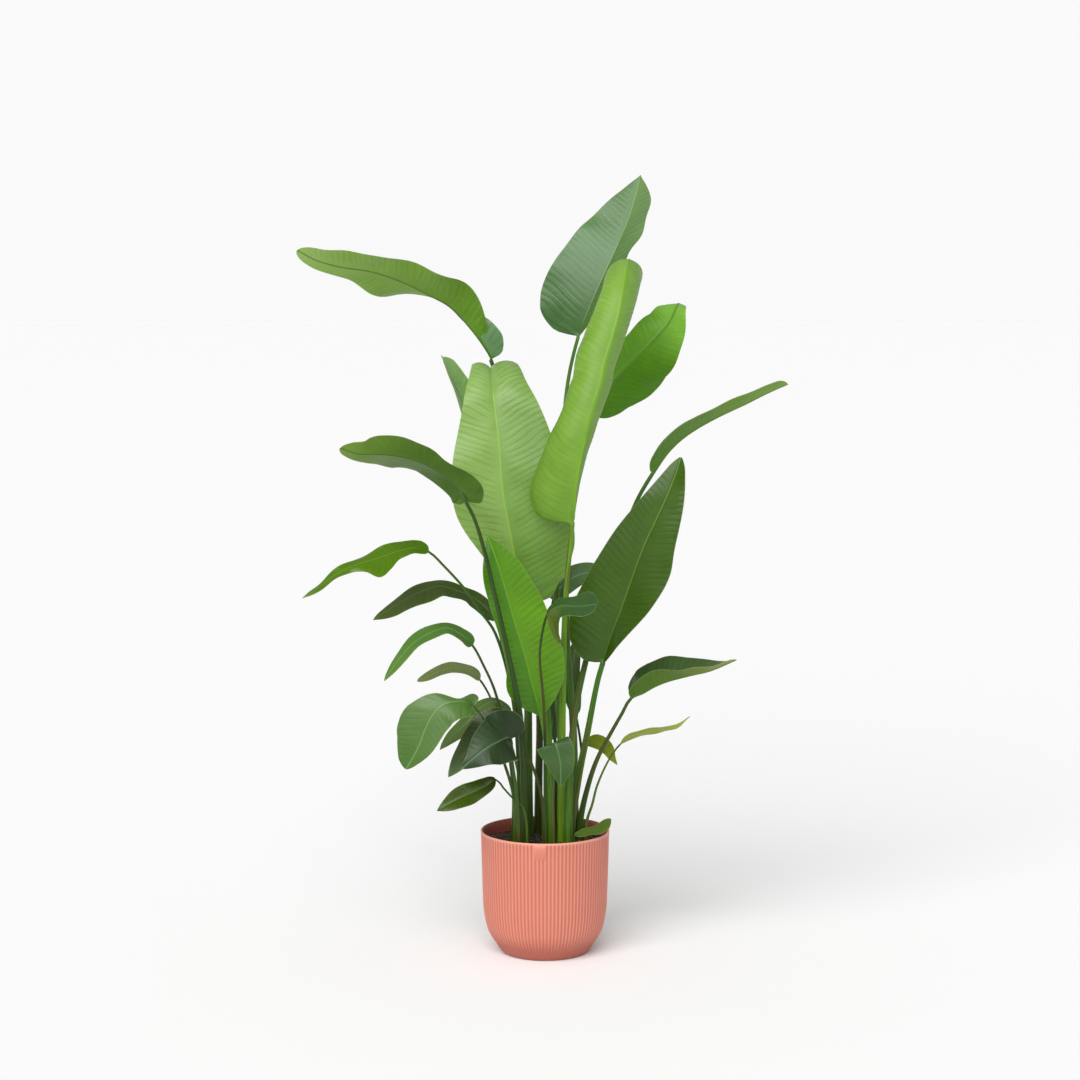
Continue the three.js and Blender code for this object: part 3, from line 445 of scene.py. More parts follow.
# Stalks are painted lighter and yellower towards the foot: painted light where they shade one another.
STALK_FOOT_PAINTED_LIGHT, FOOT_PAINTED_LIGHT_FADE = (0.2, 0.05, -0.3), (0.1, 0.6)
FIBRES_DRAWN_OUT = (500, 14, 500)
FIBRE_SPREAD = (0.25, 0.75)
SHEATH_COLOUR, SHEATH_SPREAD, SHEATH_SHARE = (86, 58, 24), (0.56, 0.66), 0.55


def curve_through(points, amounts):
    """Places on a smooth curve through points, where 0 is the first point and 1 the last."""
    points = np.array(points, float)
    before, after = 2 * points[0] - points[1], 2 * points[-1] - points[-2]
    points = np.concatenate([[before], points, [after]])
    spot = np.clip(amounts, 0, 1) * (len(points) - 3)
    i = np.minimum(spot.astype(int), len(points) - 4)
    w = (spot - i)[:, None]
    a, b, c, d = (points[i + k] for k in range(4))
    steps = ((a, b), (b, c), (c, d))
    gap_a, gap_b, gap_c = (np.sqrt(np.linalg.norm(q - p, axis=1))[:, None] for p, q in steps)
    leave = ((b - a) / gap_a - (c - a) / (gap_a + gap_b) + (c - b) / gap_b) * gap_b
    arrive = ((c - b) / gap_b - (d - b) / (gap_b + gap_c) + (d - c) / gap_c) * gap_b
    return b + leave * w + (3 * (c - b) - 2 * leave - arrive) * w**2 + (2 * (b - c) + leave + arrive) * w**3


def unit(vectors):
    return vectors / np.linalg.norm(vectors, axis=-1, keepdims=True)


def follow(points, start, end, shares):
    """Places and directions at shares of a curve's length between two amounts, and that length."""
    curve = curve_through(points, np.linspace(start, end, CURVE_STEPS))
    run = np.concatenate([[0], np.cumsum(np.linalg.norm(np.diff(curve, axis=0), axis=1))])
    place_at = lambda s: np.stack([np.interp(s * run[-1], run, curve[:, k]) for k in range(3)], 1)
    near, far = np.clip(shares - CURVE_NEARBY, 0, 1), np.clip(shares + CURVE_NEARBY, 0, 1)
    return place_at(shares), unit(place_at(far) - place_at(near)), run[-1]


def straight(values, s):
    """Interpolates values, spread evenly from 0 to 1, in straight lines."""
    values = np.array(values, float)
    spread = np.linspace(0, 1, len(values))
    return np.stack([np.interp(s, spread, column) for column in values.T], -1)


def eased(values, s):
    """Interpolates numbers, spread evenly from 0 to 1, in a smooth curve."""
    if len(values) == 1:
        return np.full(len(s), float(values[0]))
    v = np.array([2 * values[0] - values[1], *values, 2 * values[-1] - values[-2]], float)
    spot = np.clip(s, 0, 1) * (len(values) - 1)
    i = np.minimum(spot.astype(int), len(values) - 2)
    w = spot - i
    a, b, c, d = (v[i + k] for k in range(4))
    return b + 0.5 * w * (c - a + w * (2 * a - 5 * b + 4 * c - d + w * (3 * (b - c) + d - a)))


def square_to(vectors, directions):
    """The parts of vectors that are square to directions, as unit vectors."""
    return unit(vectors - (vectors * directions).sum(-1, keepdims=True) * directions)


def leaf_finish(name, rib_width, roughness):
    """The blade's finish: its tint, lined along the veins with pale lines that are partly painted highlight
    and with painted shade after each, with the midrib and a thin pale margin.
    """
    finish = new_finish(name, (105, 150, 80), roughness, specular=0.3)
    place = kept(finish, "place", "Vector")
    across, vein, to_margin = add_node(finish, "SeparateXYZ", {0: place}).outputs
    out = reckon(finish, "ABSOLUTE", across)
    grain = {0: times(finish, vein, FINE_ALONG), 1: times(finish, across, FINE_ACROSS)}
    grain = add_node(finish, "CombineXYZ", grain).outputs[0]
    fine = mottle(finish, grain, scale=1.0, detail=3.0)
    cloud = mottle(finish, object_place(finish), scale=24.0, detail=4.0)

    # Each pleat has a pale line along its top, partly a real pale vein and partly painted highlight, and
    # painted shade under it.
    saw = reckon(finish, "FRACT", reckon(finish, "DIVIDE", vein, VEIN_GAP * MM))
    crest_line_and_highlight = times(finish, graded(finish, saw, *CREST_LINE_AND_HIGHLIGHT), CREST_LINE_AND_HIGHLIGHT_SHARE)
    trough_shade = times(finish, graded(finish, saw, *TROUGH_SHADE), graded(finish, saw, *TROUGH_SHADE_END))
    pleat = reckon(finish, "SUBTRACT", crest_line_and_highlight, trough_shade)
    vein_lines_and_shade = graded(finish, out, *VEIN_LINES_AND_SHADE_OFF_RIB)
    vein_lines_and_shade = times(finish, kept(finish, "vein_lines_and_shade", "Fac"), vein_lines_and_shade)
    hair = graded(finish, cloud, *HAIR_PATCHES)
    hair = times(finish, graded(finish, fine, *HAIR_LINES), hair)

    # The tint goes from its deep shade to its light one by the pleats' painted highlight and shade, fine
    # grain, clouds and hairs.
    tint = kept(finish, "tint", "Color")
    deep, light = (
        add_node(finish, "HueSaturation", {**shade, "Color": tint}).outputs[0]
        for shade in (LEAF_DEEP, LEAF_LIGHT)
    )
    share = times(finish, vein_lines_and_shade, PLEAT_LINES_AND_SHADE_SHARE)
    share = reckon(finish, "MULTIPLY_ADD", pleat, share, LEAF_SHARE)
    for noisy, part in ((fine, FINE_SHARE), (cloud, CLOUD_SHARE)):
        share = reckon(finish, "ADD", share, reckon(finish, "MULTIPLY_ADD", noisy, part, -part / 2))
    share = reckon(finish, "ADD", share, times(finish, hair, HAIR_SHARE))
    leafy = blend_of(finish, share, deep, light)
    margin = times(finish, graded(finish, to_margin, *MARGIN_WIDTH), MARGIN_SHARE)
    leafy = blend_of(finish, margin, leafy, MARGIN_COLOUR)
    rib = graded(finish, out, *(rib_width * edge for edge in RIB_EDGES))
    rib = times(finish, rib, RIB_SHARE)
    leafy = blend_of(finish, rib, leafy, kept(finish, "rib_tint", "Color"))
    uneven = reckon(finish, "ADD", fine, times(finish, cloud, RIPPLE_CLOUD))
    rippled = relief(finish, uneven, strength=0.45, depth=0.0009)
    gloss = reckon(finish, "MULTIPLY_ADD", cloud, GLOSS_CLOUD, roughness - GLOSS_CLOUD / 2)
    feed(finish, Base_Color=leafy, Normal=rippled, Roughness=gloss)
    return finish


upper_finish = leaf_finish("LeafUpperSide", rib_width=0.0009, roughness=0.3)
under_finish = leaf_finish("LeafUnderside", rib_width=0.0014, roughness=0.45)

# The stalk's finish: lengthwise fibres, with strips of dry brown sheath.
stalk_finish = new_finish("LeafStalk", colour=(70, 105, 50), roughness=0.45, specular=0.25)
drawn_out = {0: kept(stalk_finish, "place", "Vector"), 1: FIBRES_DRAWN_OUT}
drawn_out = add_node(stalk_finish, "VectorMath", drawn_out, operation="MULTIPLY").outputs[0]
fibres = mottle(stalk_finish, drawn_out, scale=1.0, detail=3.0)
tint = kept(stalk_finish, "tint", "Color")
deep = add_node(stalk_finish, "HueSaturation", {"Value": 0.7, "Color": tint}).outputs[0]
light = add_node(stalk_finish, "HueSaturation", {"Value": 1.25, "Color": tint}).outputs[0]
fibrous = blend_of(stalk_finish, graded(stalk_finish, fibres, *FIBRE_SPREAD), deep, light)
sheath = mottle(stalk_finish, drawn_out, scale=0.3, detail=2.0)
sheath = graded(stalk_finish, sheath, *SHEATH_SPREAD)
sheath = times(stalk_finish, sheath, SHEATH_SHARE)
fibrous = blend_of(stalk_finish, sheath, fibrous, SHEATH_COLOUR)
ribbed = relief(stalk_finish, fibres, strength=0.4, depth=0.0006)
feed(stalk_finish, Base_Color=fibrous, Normal=ribbed)

leaves_grown = 0


def grow_leaf(
    name, stalk, rib, face, width, radius, upper, under, midrib, stalk_colour,
    fold=((0,),), curl=((0,),), lobe=(0, 0), wave=(1, 2), pleat=0.1, vein_lines_and_shade=0.22,
):
    """Makes one leaf, in mm and degrees, with its stalk and midrib through the points given.

    Lists go from the blade's base to its tip: the way its upper side faces, its widths, how far it
    folds up at the midrib and curls on towards the margin, and its colours. Where there are two,
    the left half's comes first, seen on the upper side with the tip ahead. Then there are the
    stalk's radius at its foot and at the blade, how far the base's lobes reach back, the waves'
    height and number, the pleats' height, and how strongly the veins' pale lines, partly painted
    highlight, and their painted shade show.
    """
    global leaves_grown
    points = stalk + rib
    joint = (len(stalk) - 1) / (len(points) - 1)

    # The stalk's rings, from the foot up to the blade, with the way its channelled side looks.
    stalk_length = follow(points, 0, joint, np.zeros(1))[2]
    stalk_s = np.linspace(0, 1, max(int(stalk_length / STALK_STEP), FEWEST_STALK_RINGS))
    stalk_at, stalk_ahead, _ = follow(points, 0, joint, stalk_s)
    stalk_up = np.empty_like(stalk_at)
    up = np.array(face[0], float)
    for i in reversed(range(len(stalk_s))):
        up = stalk_up[i] = square_to(up, stalk_ahead[i])
    stalk_side = np.cross(stalk_ahead, stalk_up)
    turns = np.linspace(math.pi, -math.pi, 2 * COLUMNS, endpoint=False) - math.pi / (2 * COLUMNS)
    round_x, round_y = np.cos(turns), np.sin(turns)
    channel = CHANNEL_DEPTH * np.exp(-(((turns - math.pi / 2) / CHANNEL_WIDTH) ** 2))
    channel = channel * ramp(stalk_s, *CHANNEL_STARTS)[:, None]
    reach = radius[1] + (radius[0] - radius[1]) * (1 - stalk_s) ** STALK_TAPER
    reach = reach[:, None] * (1 - channel)
    tube = stalk_at[:, None] + (reach * round_x)[..., None] * stalk_side[:, None]
    tube += (reach * round_y)[..., None] * stalk_up[:, None]
    tube[0, :, 2] = STALK_FOOT

    # The blade's rings: fine steps where the base and the tip are rounded, even ones between.
    length = follow(points, joint, 1, np.zeros(1))[2]
    bend = np.linspace(0, math.pi / 2, END_RINGS)
    start = ROUND_BASE * (1 - np.cos(bend[1:]))
    end = 1 - ROUND_TIP * (1 - np.sin(bend[1:])) - TIP_SHORT
    steps = max(int(BLADE_MIDDLE * length / BLADE_STEP), FEWEST_RINGS)
    s = np.concatenate([start, np.linspace(ROUND_BASE, 1 - ROUND_TIP, steps)[1:], end])
    at, ahead, _ = follow(points, joint, 1, s)
    up = square_to(straight(face, s), ahead)
    side = np.cross(ahead, up)

    # The flat sheet of each ring, folded at the midrib, curled, waved and drawn back at the base.
    u = np.linspace(-1, 1, COLUMNS)
    t = np.sign(u) * np.abs(u) ** COLUMN_CROWDING
    out = np.abs(t)
    half = (t > 0).astype(int)
    sign = np.where(t < 0, -1, 1)
    per_half = lambda values: np.stack([eased(v, s) for v in (values[0], values[-1])], 1)[:, half]
    base = np.minimum(s / ROUND_BASE, 1)
    tip = np.maximum((s - 1 + ROUND_TIP) / ROUND_TIP, 0)
    rounded = np.sqrt(1 - (1 - base) ** 2) * np.sqrt(np.maximum(1 - tip**2, 0))
    wide = np.maximum(per_half(width), NARROWEST) * rounded[:, None]
    folded = np.radians(per_half(fold))
    curled = np.radians(per_half(curl))
    curled = np.where(np.abs(curled) < LEAST_CURL, LEAST_CURL, curled)
    turned = folded + curled * out
    swell = np.sqrt(np.sin(math.pi * s))[:, None]
    waving = wave[0] * out**2 * np.sin(2 * math.pi * wave[1] * s[:, None] + WAVE_LAG * half) * swell
    sideways = wide * (np.sin(turned) - np.sin(folded)) / curled - waving * np.sin(turned)
    raised = wide * (np.cos(folded) - np.cos(turned)) / curled + waving * np.cos(turned)
    back = np.array(lobe)[half] * out**LOBE_POWER * (1 - s[:, None]) ** LOBE_FADE
    sheet = at[:, None] + (sign * sideways)[..., None] * side[:, None]
    sheet += raised[..., None] * up[:, None] - back[..., None] * ahead[:, None]
    look = np.cos(turned)[..., None] * up[:, None] - (sign * np.sin(turned))[..., None] * side[:, None]

    # Pleats along the veins, and a soft unevenness, press the sheet up and down. The veins run out
    # and on towards the tip, not quite evenly spaced.
    x = wide * out
    y = s[:, None] * length + 0 * x
    to_margin = wide - x
    seed = NOISE_STEP * leaves_grown
    drift, swelling = np.empty_like(x), np.empty_like(x)
    for i, j in np.ndindex(x.shape):
        across = sign[j] * x[i, j]
        drifting = (across / DRIFT_SIZES[0] + seed, y[i, j] / DRIFT_SIZES[1], 0)
        drift[i, j] = noise.noise(Vector(drifting))
        swells = (across / SWELLING_SIZES[0] + seed, y[i, j] / SWELLING_SIZES[1], SWELLING_SLICE)
        swelling[i, j] = noise.noise(Vector(swells))
    vein = y - (VEIN_SLOPES[0] + VEIN_SLOPES[1] * s[:, None]) * x + VEIN_DRIFT * drift
    free = ramp(x, *PLEATS_OFF_RIB) * ramp(to_margin, *PLEATS_OFF_MARGIN)
    free = free * (ramp(s, *PLEATS_OFF_BASE) * (1 - ramp(s, *PLEATS_OFF_TIP)))[:, None]
    phase = 2 * math.pi * vein / VEIN_GAP
    rise = pleat * (np.sin(phase) + PLEAT_LEAN * np.sin(2 * phase)) * free
    rise = rise + SWELLING * swelling * np.sqrt(out)
    sheet += rise[..., None] * look

    # The blade's two sides, with a groove over the midrib and its ridge under it, join the stalk.
    groove = RIB_GROOVE_DEPTH * np.exp(-((x / RIB_GROOVE_WIDTH) ** 2))
    rib_radius = radius[1] + (RIB_TIP_RADIUS - radius[1]) * s[:, None]
    ridge = rib_radius * np.exp(-((x / (RIDGE_WIDTH * rib_radius)) ** 2))
    thick = ramp(to_margin, 0, MARGIN_THINS_OVER)
    thick = MARGIN_THICKNESS + (HALF_THICKNESS - MARGIN_THICKNESS) * thick
    top = sheet + (thick - groove)[..., None] * look
    bottom = sheet - (thick + ridge)[..., None] * look
    rings = np.concatenate([top, bottom[:, ::-1]], axis=1)
    hoop = at[:, None] + radius[1] * (round_x[:, None] * side[:, None] + round_y[:, None] * up[:, None])
    grown = ramp(s, 0, STALK_MERGES_BY)[:, None, None]
    rings = hoop * (1 - grown) + rings * grown

    # A plane of that many faces is wrapped into the leaf's closed skin.
    shape = np.concatenate([tube, rings])
    shape = np.concatenate([shape, shape[:, :1]], axis=1)
    rows, around = shape.shape[:2]
    leaf = add_piece(
        name + "_leaf", add_grid, x_subdivisions=around - 1, y_subdivisions=rows - 1, size=2
    )
    set_mesh_points(leaf, shape.reshape(-1, 3))

    # What the finishes read: the place on the blade or stalk in metres, and the leaf's tints, some with
    # painted light in them.
    apart = LEAVES_APART * VEIN_GAP * MM * leaves_grown
    place = np.empty((rows, around, 3))
    n = len(stalk_s)
    turns = np.append(turns, turns[0])
    place[:n, :, 0] = radius[1] * np.cos(turns) * MM
    place[:n, :, 1] = ((stalk_s - 1) * stalk_length * MM)[:, None] + apart
    place[:n, :, 2] = radius[1] * np.sin(turns) * MM
    both = lambda values: np.concatenate([values, values[:, ::-1], values[:, :1]], axis=1)
    place[n:, :, 0] = both(sign * x) * MM
    place[n:, :, 1] = both(vein) * MM + apart
    place[n:, :, 2] = both(to_margin) * MM
    tints = np.ones((rows, around, 4))
    for k, colours in enumerate((upper, under)):
        stops = [np.array([linear(c)[:3] for c in half_colours]) for half_colours in colours]
        blended = np.stack([straight(stops[0], s), straight(stops[-1], s)], 1)[:, half]
        if k:
            tints[n:, COLUMNS:-1, :3] = blended[:, ::-1]
        else:
            tints[n:, :COLUMNS, :3] = blended
            tints[n:, -1, :3] = blended[:, 0]
    stalk_tints = np.array(linear(stalk_colour)[:3]) * np.ones((n, 1))
    # Painted light: the stalk is lighter and yellower towards its foot.
    stalk_tints *= 1 + np.array(STALK_FOOT_PAINTED_LIGHT) * (1 - ramp(stalk_s, *FOOT_PAINTED_LIGHT_FADE))[:, None]
    tints[:n, :, :3] = stalk_tints[:, None]
    rib_tints = np.ones((rows, around, 4))
    rib_tints[:n] = linear(stalk_colour)
    own = ramp(s, 0, STALK_TINT_ON_RIB)[:, None]
    rib_tints[n:, :, :3] = (stalk_tints[-1] * (1 - own) + np.array(linear(midrib)[:3]) * own)[:, None]
    for label, kind, field, values in (
        ("place", "FLOAT_VECTOR", "vector", place),
        ("vein_lines_and_shade", "FLOAT", "value", np.full((rows, around), vein_lines_and_shade)),
        ("tint", "FLOAT_COLOR", "color", tints),
        ("rib_tint", "FLOAT_COLOR", "color", rib_tints),
    ):
        leaf.data.attributes.new(label, kind, "POINT")
        leaf.data.attributes[label].data.foreach_set(field, values.astype(np.float32).ravel())

    for finish in (upper_finish, under_finish, stalk_finish):
        leaf.data.materials.append(finish)
    row, column = np.divmod(np.arange((rows - 1) * (around - 1)), around - 1)
    finish_of = np.where(column < COLUMNS, 0, 1)
    finish_of[row < n] = 2
    leaf.data.polygons.foreach_set("material_index", finish_of.astype(np.int32))
    start_editing()
    bpy.ops.mesh.remove_doubles(threshold=MERGE_WITHIN)
    bpy.ops.mesh.select_all(action="SELECT")
    bpy.ops.mesh.fill_holes(sides=0)
    finish_editing()
    bpy.ops.object.shade_smooth_by_angle(angle=SMOOTH_UP_TO)
    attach(leaf, "root")
    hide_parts("leaf_" + name)
    leaves_grown += 1


grow_leaf(
    "tall_back",
    stalk=[[30, 45, 160], [31, 49, 281], [19, 82, 525], [26, 112, 765], [38, 120, 958],
        [57, 112, 1046]],
    rib=[[74, 109, 1092], [98, 115, 1146], [122, 131, 1197], [146, 157, 1253], [166, 189, 1322]],
    face=[[-0.2, -0.95, 0.3], [-0.25, -0.9, 0.3], [-0.3, -0.95, 0.1]],
    width=[[66, 90, 89, 80, 64, 39, 2], [60, 66, 62, 54, 47, 37, 2]], fold=[[5], [75, 55, 42, 30, 20]],
    lobe=[10, 8], wave=[3, 4], radius=[8, 3], pleat=0.5, vein_lines_and_shade=0.4,
    upper=[[(58, 92, 44), (94, 124, 86), (86, 116, 72)],
        [(82, 112, 60), (92, 122, 76), (106, 132, 84)]],
    under=[[(110, 150, 80), (120, 158, 90)]],
    midrib=(124, 156, 92), stalk_colour=(72, 112, 34),
)

grow_leaf(
    "arch_left",
    stalk=[[-28, 42, 160], [-29, 45, 269], [-29, 54, 390], [-29, 66, 527], [-46, 80, 768],
        [-73, 77, 923], [-92, 67, 1008]],
    rib=[[-107, 61, 1036], [-132, 48, 1070], [-160, 32, 1101], [-199, 8, 1123], [-248, -24, 1147],
        [-291, -51, 1161], [-334, -77, 1168], [-375, -96, 1180], [-404, -109, 1196]],
    face=[[-0.3, 0.75, 0.6], [0, 0.65, 0.76], [0, 0.65, 0.76], [0, 0.6, 0.8]],
    width=[[2, 14, 33, 47, 57, 56, 53, 50, 47, 44, 42, 34, 20],
        [34, 38, 30, 8, 14, 30, 54, 54, 43, 32, 24, 20, 16]],
    fold=[[10, 5, 0, 0, 0], [172, 168, 62, 40, 5, 0, 0, 0, 0]],
    lobe=[4, 6], wave=[3, 4], radius=[9, 3.4], pleat=0.35, vein_lines_and_shade=0.3,
    # The underside's tints lighten towards the tip: painted light shining through the leaf.
    upper=[[(106, 138, 98), (98, 132, 80)]], under=[[(84, 126, 32), (112, 150, 58), (142, 174, 96)]],
    midrib=(66, 92, 34), stalk_colour=(54, 88, 20),
)

grow_leaf(
    "rolled",
    stalk=[[27, -12, 160], [29, -33, 406], [34, -98, 623], [44, -158, 753]],
    rib=[[45, -171, 785], [50, -186, 829], [57, -194, 870], [67, -194, 907], [80, -187, 950],
        [91, -176, 985], [98, -162, 1017], [109, -147, 1051], [121, -131, 1095], [128, -112, 1131],
        [134, -80, 1163], [139, -32, 1179], [144, 24, 1170], [147, 72, 1135]],
    face=[[0, 1, 0], [0, 1, 0], [0, 1, 0.1], [0, 1, 0.1], [0, 0.8, -0.5], [0, -0.2, -1]],
    width=[[44, 58, 70, 76, 78, 62, 30], [100, 98, 85, 81, 72, 64, 36]],
    fold=[[55, 42, 30, 24, 6, -5], [-15, -15, -15, -15, -10, 0]],
    curl=[[90, 105, 120, 125, 140, 150], [80, 125, 130, 135, 140, 120]],
    lobe=[6, 22], wave=[2, 3], radius=[8, 4], pleat=0.15,
    upper=[[(104, 150, 80), (120, 165, 95)]],
    # On the right half's underside, the pale last tint is painted sheen where the top bends over.
    under=[[(110, 146, 66), (116, 152, 76)], [(104, 142, 52), (114, 152, 64), (138, 172, 92)]],
    midrib=(112, 160, 20), stalk_colour=(96, 140, 28),
)

grow_leaf(
    "front",
    stalk=[[6, 2, 160], [8, -4, 292], [2, -24, 439], [-24, -61, 606]],
    rib=[[-35, -69, 632], [-47, -78, 672], [-57, -90, 725], [-68, -96, 784], [-73, -98, 829],
        [-76, -94, 873], [-81, -86, 917], [-86, -74, 959], [-90, -42, 989], [-92, 0, 999],
        [-95, 42, 979], [-97, 74, 947]],
    face=[[0.1, -0.95, 0.1], [0.05, -1, 0.1], [0, -1, 0.15], [0, -0.9, 0.4], [0, -0.3, 0.95],
        [0, 0.8, 0.6]],
    width=[[10, 46, 82, 75, 48, 30, 4], [60, 101, 104, 91, 66, 41, 4]],
    fold=[[0, 5, 5, 10, 46, 44], [0, 0, 5, 10, 46, 44]], curl=[[0, 0, 0, -20, -75, -60]],
    lobe=[10, 14], wave=[3, 5], radius=[8, 4], pleat=0.38, vein_lines_and_shade=0.42,
    upper=[[(126, 158, 84), (130, 160, 92), (138, 170, 104)],
        [(106, 142, 66), (118, 150, 84), (140, 168, 104)]],
    under=[[(108, 146, 66), (116, 152, 74)]],
    midrib=(134, 176, 54), stalk_colour=(84, 128, 22),
)

grow_leaf(
    "back_right",
    stalk=[[43, 34, 160], [50, 52, 294], [48, 59, 389], [38, 67, 527], [39, 77, 699], [60, 83, 836],
        [84, 83, 908]],
    rib=[[101, 80, 950], [124, 77, 984], [153, 74, 1013], [184, 77, 1042], [210, 86, 1069],
        [226, 115, 1098], [231, 154, 1102]],
    face=[[-0.4, 0.85, 0.3], [-0.4, 0.85, 0.3], [-0.4, 0.85, 0.3], [-0.3, 0.6, -0.6], [-0.1, 0, -1]],
    width=[[36, 68, 86, 78, 44, 19, 12], [14, 28, 34, 38, 40, 33, 14]], fold=[[5], [15, 5, 5]],
    curl=[[0], [20, 30, 30]],
    wave=[2, 3], radius=[8, 3.5], pleat=0.3,
    # The underside's vivid green is partly painted light shining through the leaf, and its pale last tint
    # is painted sheen where the tip curls over.
    upper=[[(88, 134, 66), (94, 142, 72)]], under=[[(74, 130, 8), (84, 138, 14), (130, 178, 80)]],
    midrib=(84, 128, 30), stalk_colour=(60, 100, 24),
)

grow_leaf(
    "back_left",
    stalk=[[-12, 60, 160], [-11, 62, 266], [-11, 86, 419], [-36, 111, 591], [-78, 136, 762],
        [-100, 141, 849]],
    rib=[[-123, 141, 892], [-145, 144, 944], [-164, 152, 983], [-177, 163, 1009]],
    face=[[0.5, -0.6, 0.5], [0.8, -0.3, 0.6]],
    width=[[32, 40, 44, 44, 44, 42, 26], [20, 28, 32, 32, 31, 27, 18]], fold=[[20]],
    wave=[0, 1], radius=[8, 2.8], pleat=0.2,
    upper=[[(120, 156, 92), (132, 166, 104)]], under=[[(120, 156, 80)]],
    midrib=(150, 178, 120), stalk_colour=(46, 70, 16),
)

# ---- The leaves down the left side ----
# Smaller and older leaves that arch out to the left one under the other, the lowest hanging over
# the pot's rim. They grew as the tall ones did, and are greyer, duller or darker.

grow_leaf(
    "mid_left",
    stalk=[[-36, -48, 160], [-34, -54, 273], [-42, -101, 422], [-64, -157, 553], [-82, -172, 636],
        [-98, -186, 709], [-115, -194, 766], [-128, -194, 792]],
    rib=[[-140, -186, 813], [-160, -192, 833], [-187, -205, 852], [-212, -221, 864], [-242, -237, 872],
        [-270, -250, 875], [-297, -259, 876], [-325, -269, 886]],
    face=[[-0.5, 0.6, 0.6], [0, 0.6, 0.8], [0, 0.6, 0.8], [0, 0.55, 0.85]],
    width=[[38, 32, 29, 40, 50, 44, 20], [18, 32, 52, 62, 56, 31, 16]], fold=[[0, 5, 5], [30, 15, 5]],
    lobe=[18, 4], wave=[2, 3], radius=[8.5, 2.8], pleat=0.25,
    upper=[[(88, 126, 70), (102, 140, 76)]], under=[[(54, 86, 8), (70, 106, 14), (104, 138, 44)]],
    midrib=(56, 84, 26), stalk_colour=(40, 66, 14),
)

grow_leaf(
    "low_left",
    stalk=[[-50, -20, 160], [-44, -24, 266], [-54, -54, 444], [-83, -92, 563], [-106, -105, 600],
        [-131, -120, 639], [-166, -131, 680], [-190, -139, 704]],
    rib=[[-213, -142, 711], [-241, -147, 707], [-273, -153, 696], [-306, -160, 687], [-342, -172, 671],
        [-369, -181, 651], [-395, -186, 635]],
    face=[[-0.3, -0.5, 0.8]],
    width=[[10, 13, 15, 18, 32, 42, 22, 11, 10, 10, 9, 6, 1], [14, 22, 23, 17, 12, 8, 1]],
    fold=[[-5, -15, -5], [10, 5, 0]],
    wave=[3, 3], radius=[4.5, 2], pleat=0.2,
    upper=[[(68, 106, 10), (80, 116, 14), (74, 108, 10)]], under=[[(108, 148, 66)]],
    midrib=(96, 130, 40), stalk_colour=(50, 84, 20),
)

grow_leaf(
    "grey_left",
    stalk=[[-46, 14, 160], [-41, 10, 277], [-54, -10, 436], [-71, -27, 525], [-82, -40, 574]],
    rib=[[-99, -44, 598], [-122, -47, 618], [-146, -54, 629], [-176, -60, 638], [-209, -69, 629],
        [-245, -76, 610], [-286, -83, 584]],
    face=[[-0.6, -0.5, 0.6], [-0.3, -0.45, 0.85], [-0.2, -0.4, 0.9]],
    width=[[12, 15, 19, 30, 32, 24, 3], [12, 13, 14, 19, 20, 15, 3]], fold=[[-5, -5, -10], [10, 5, 0]],
    wave=[2, 3], radius=[4.5, 2], pleat=0.15,
    upper=[[(58, 80, 40), (60, 78, 28), (74, 90, 42)]], under=[[(100, 124, 70)]],
    midrib=(88, 106, 60), stalk_colour=(40, 64, 16),
)

grow_leaf(
    "droop_left",
    stalk=[[-58, 2, 160], [-53, -18, 265], [-63, -49, 366], [-84, -77, 463], [-102, -89, 507],
        [-120, -101, 543]],
    rib=[[-138, -108, 562], [-162, -115, 575], [-187, -120, 569], [-215, -123, 553], [-240, -126, 527],
        [-266, -125, 488]],
    face=[[-0.3, -0.5, 0.8], [-0.3, -0.5, 0.85], [-0.5, -0.5, 0.7]],
    width=[[12, 14, 14, 15, 16, 12, 2], [14, 15, 15, 17, 16, 12, 2]], fold=[[0, -5, -10], [5, 5, 0]],
    wave=[2, 2], radius=[4, 2], pleat=0.15,
    upper=[[(72, 104, 52), (78, 112, 52), (84, 120, 50)]], under=[[(110, 140, 80)]],
    midrib=(112, 136, 84), stalk_colour=(50, 80, 20),
)

grow_leaf(
    "small_left",
    stalk=[[-60, 22, 160], [-43, 20, 275], [-63, 5, 373], [-88, -10, 431], [-110, -20, 472]],
    rib=[[-130, -23, 488], [-152, -26, 494], [-177, -29, 489], [-216, -31, 472]],
    face=[[-0.2, -0.35, 0.9]],
    width=[[8, 12, 13, 15, 16, 13, 4], [12, 17, 16, 17, 17, 13, 4]], fold=[[0, -5], [5]],
    radius=[3.6, 1.8],
    upper=[[(120, 134, 88), (118, 134, 76)]], under=[[(116, 134, 80)]],
    midrib=(130, 142, 94), stalk_colour=(56, 78, 24),
)

grow_leaf(
    "wide_left",
    stalk=[[-52, -36, 160], [-52, -56, 273], [-67, -87, 339], [-85, -136, 393], [-101, -146, 427],
        [-117, -162, 451]],
    rib=[[-131, -176, 462], [-155, -184, 463], [-175, -188, 454], [-188, -188, 436], [-198, -183, 414],
        [-208, -175, 387], [-229, -160, 347]],
    face=[[0.3, -0.5, 0.8], [0.1, -0.8, 0.6], [-0.1, -0.95, 0.3], [-0.2, -0.97, 0.1]],
    width=[[20, 34, 37, 34, 29, 18, 4], [34, 6, 26, 44, 44, 34, 12]], fold=[[0, 5, 5]],
    curl=[[0], [120, 10, 0, 0, 0, 0, 0]],
    lobe=[8, 4], wave=[2, 2], radius=[4.2, 2], pleat=0.3, vein_lines_and_shade=0.3,
    upper=[[(78, 108, 54), (90, 118, 70), (70, 104, 42)]], under=[[(112, 146, 90)]],
    midrib=(112, 142, 84), stalk_colour=(58, 88, 24),
)

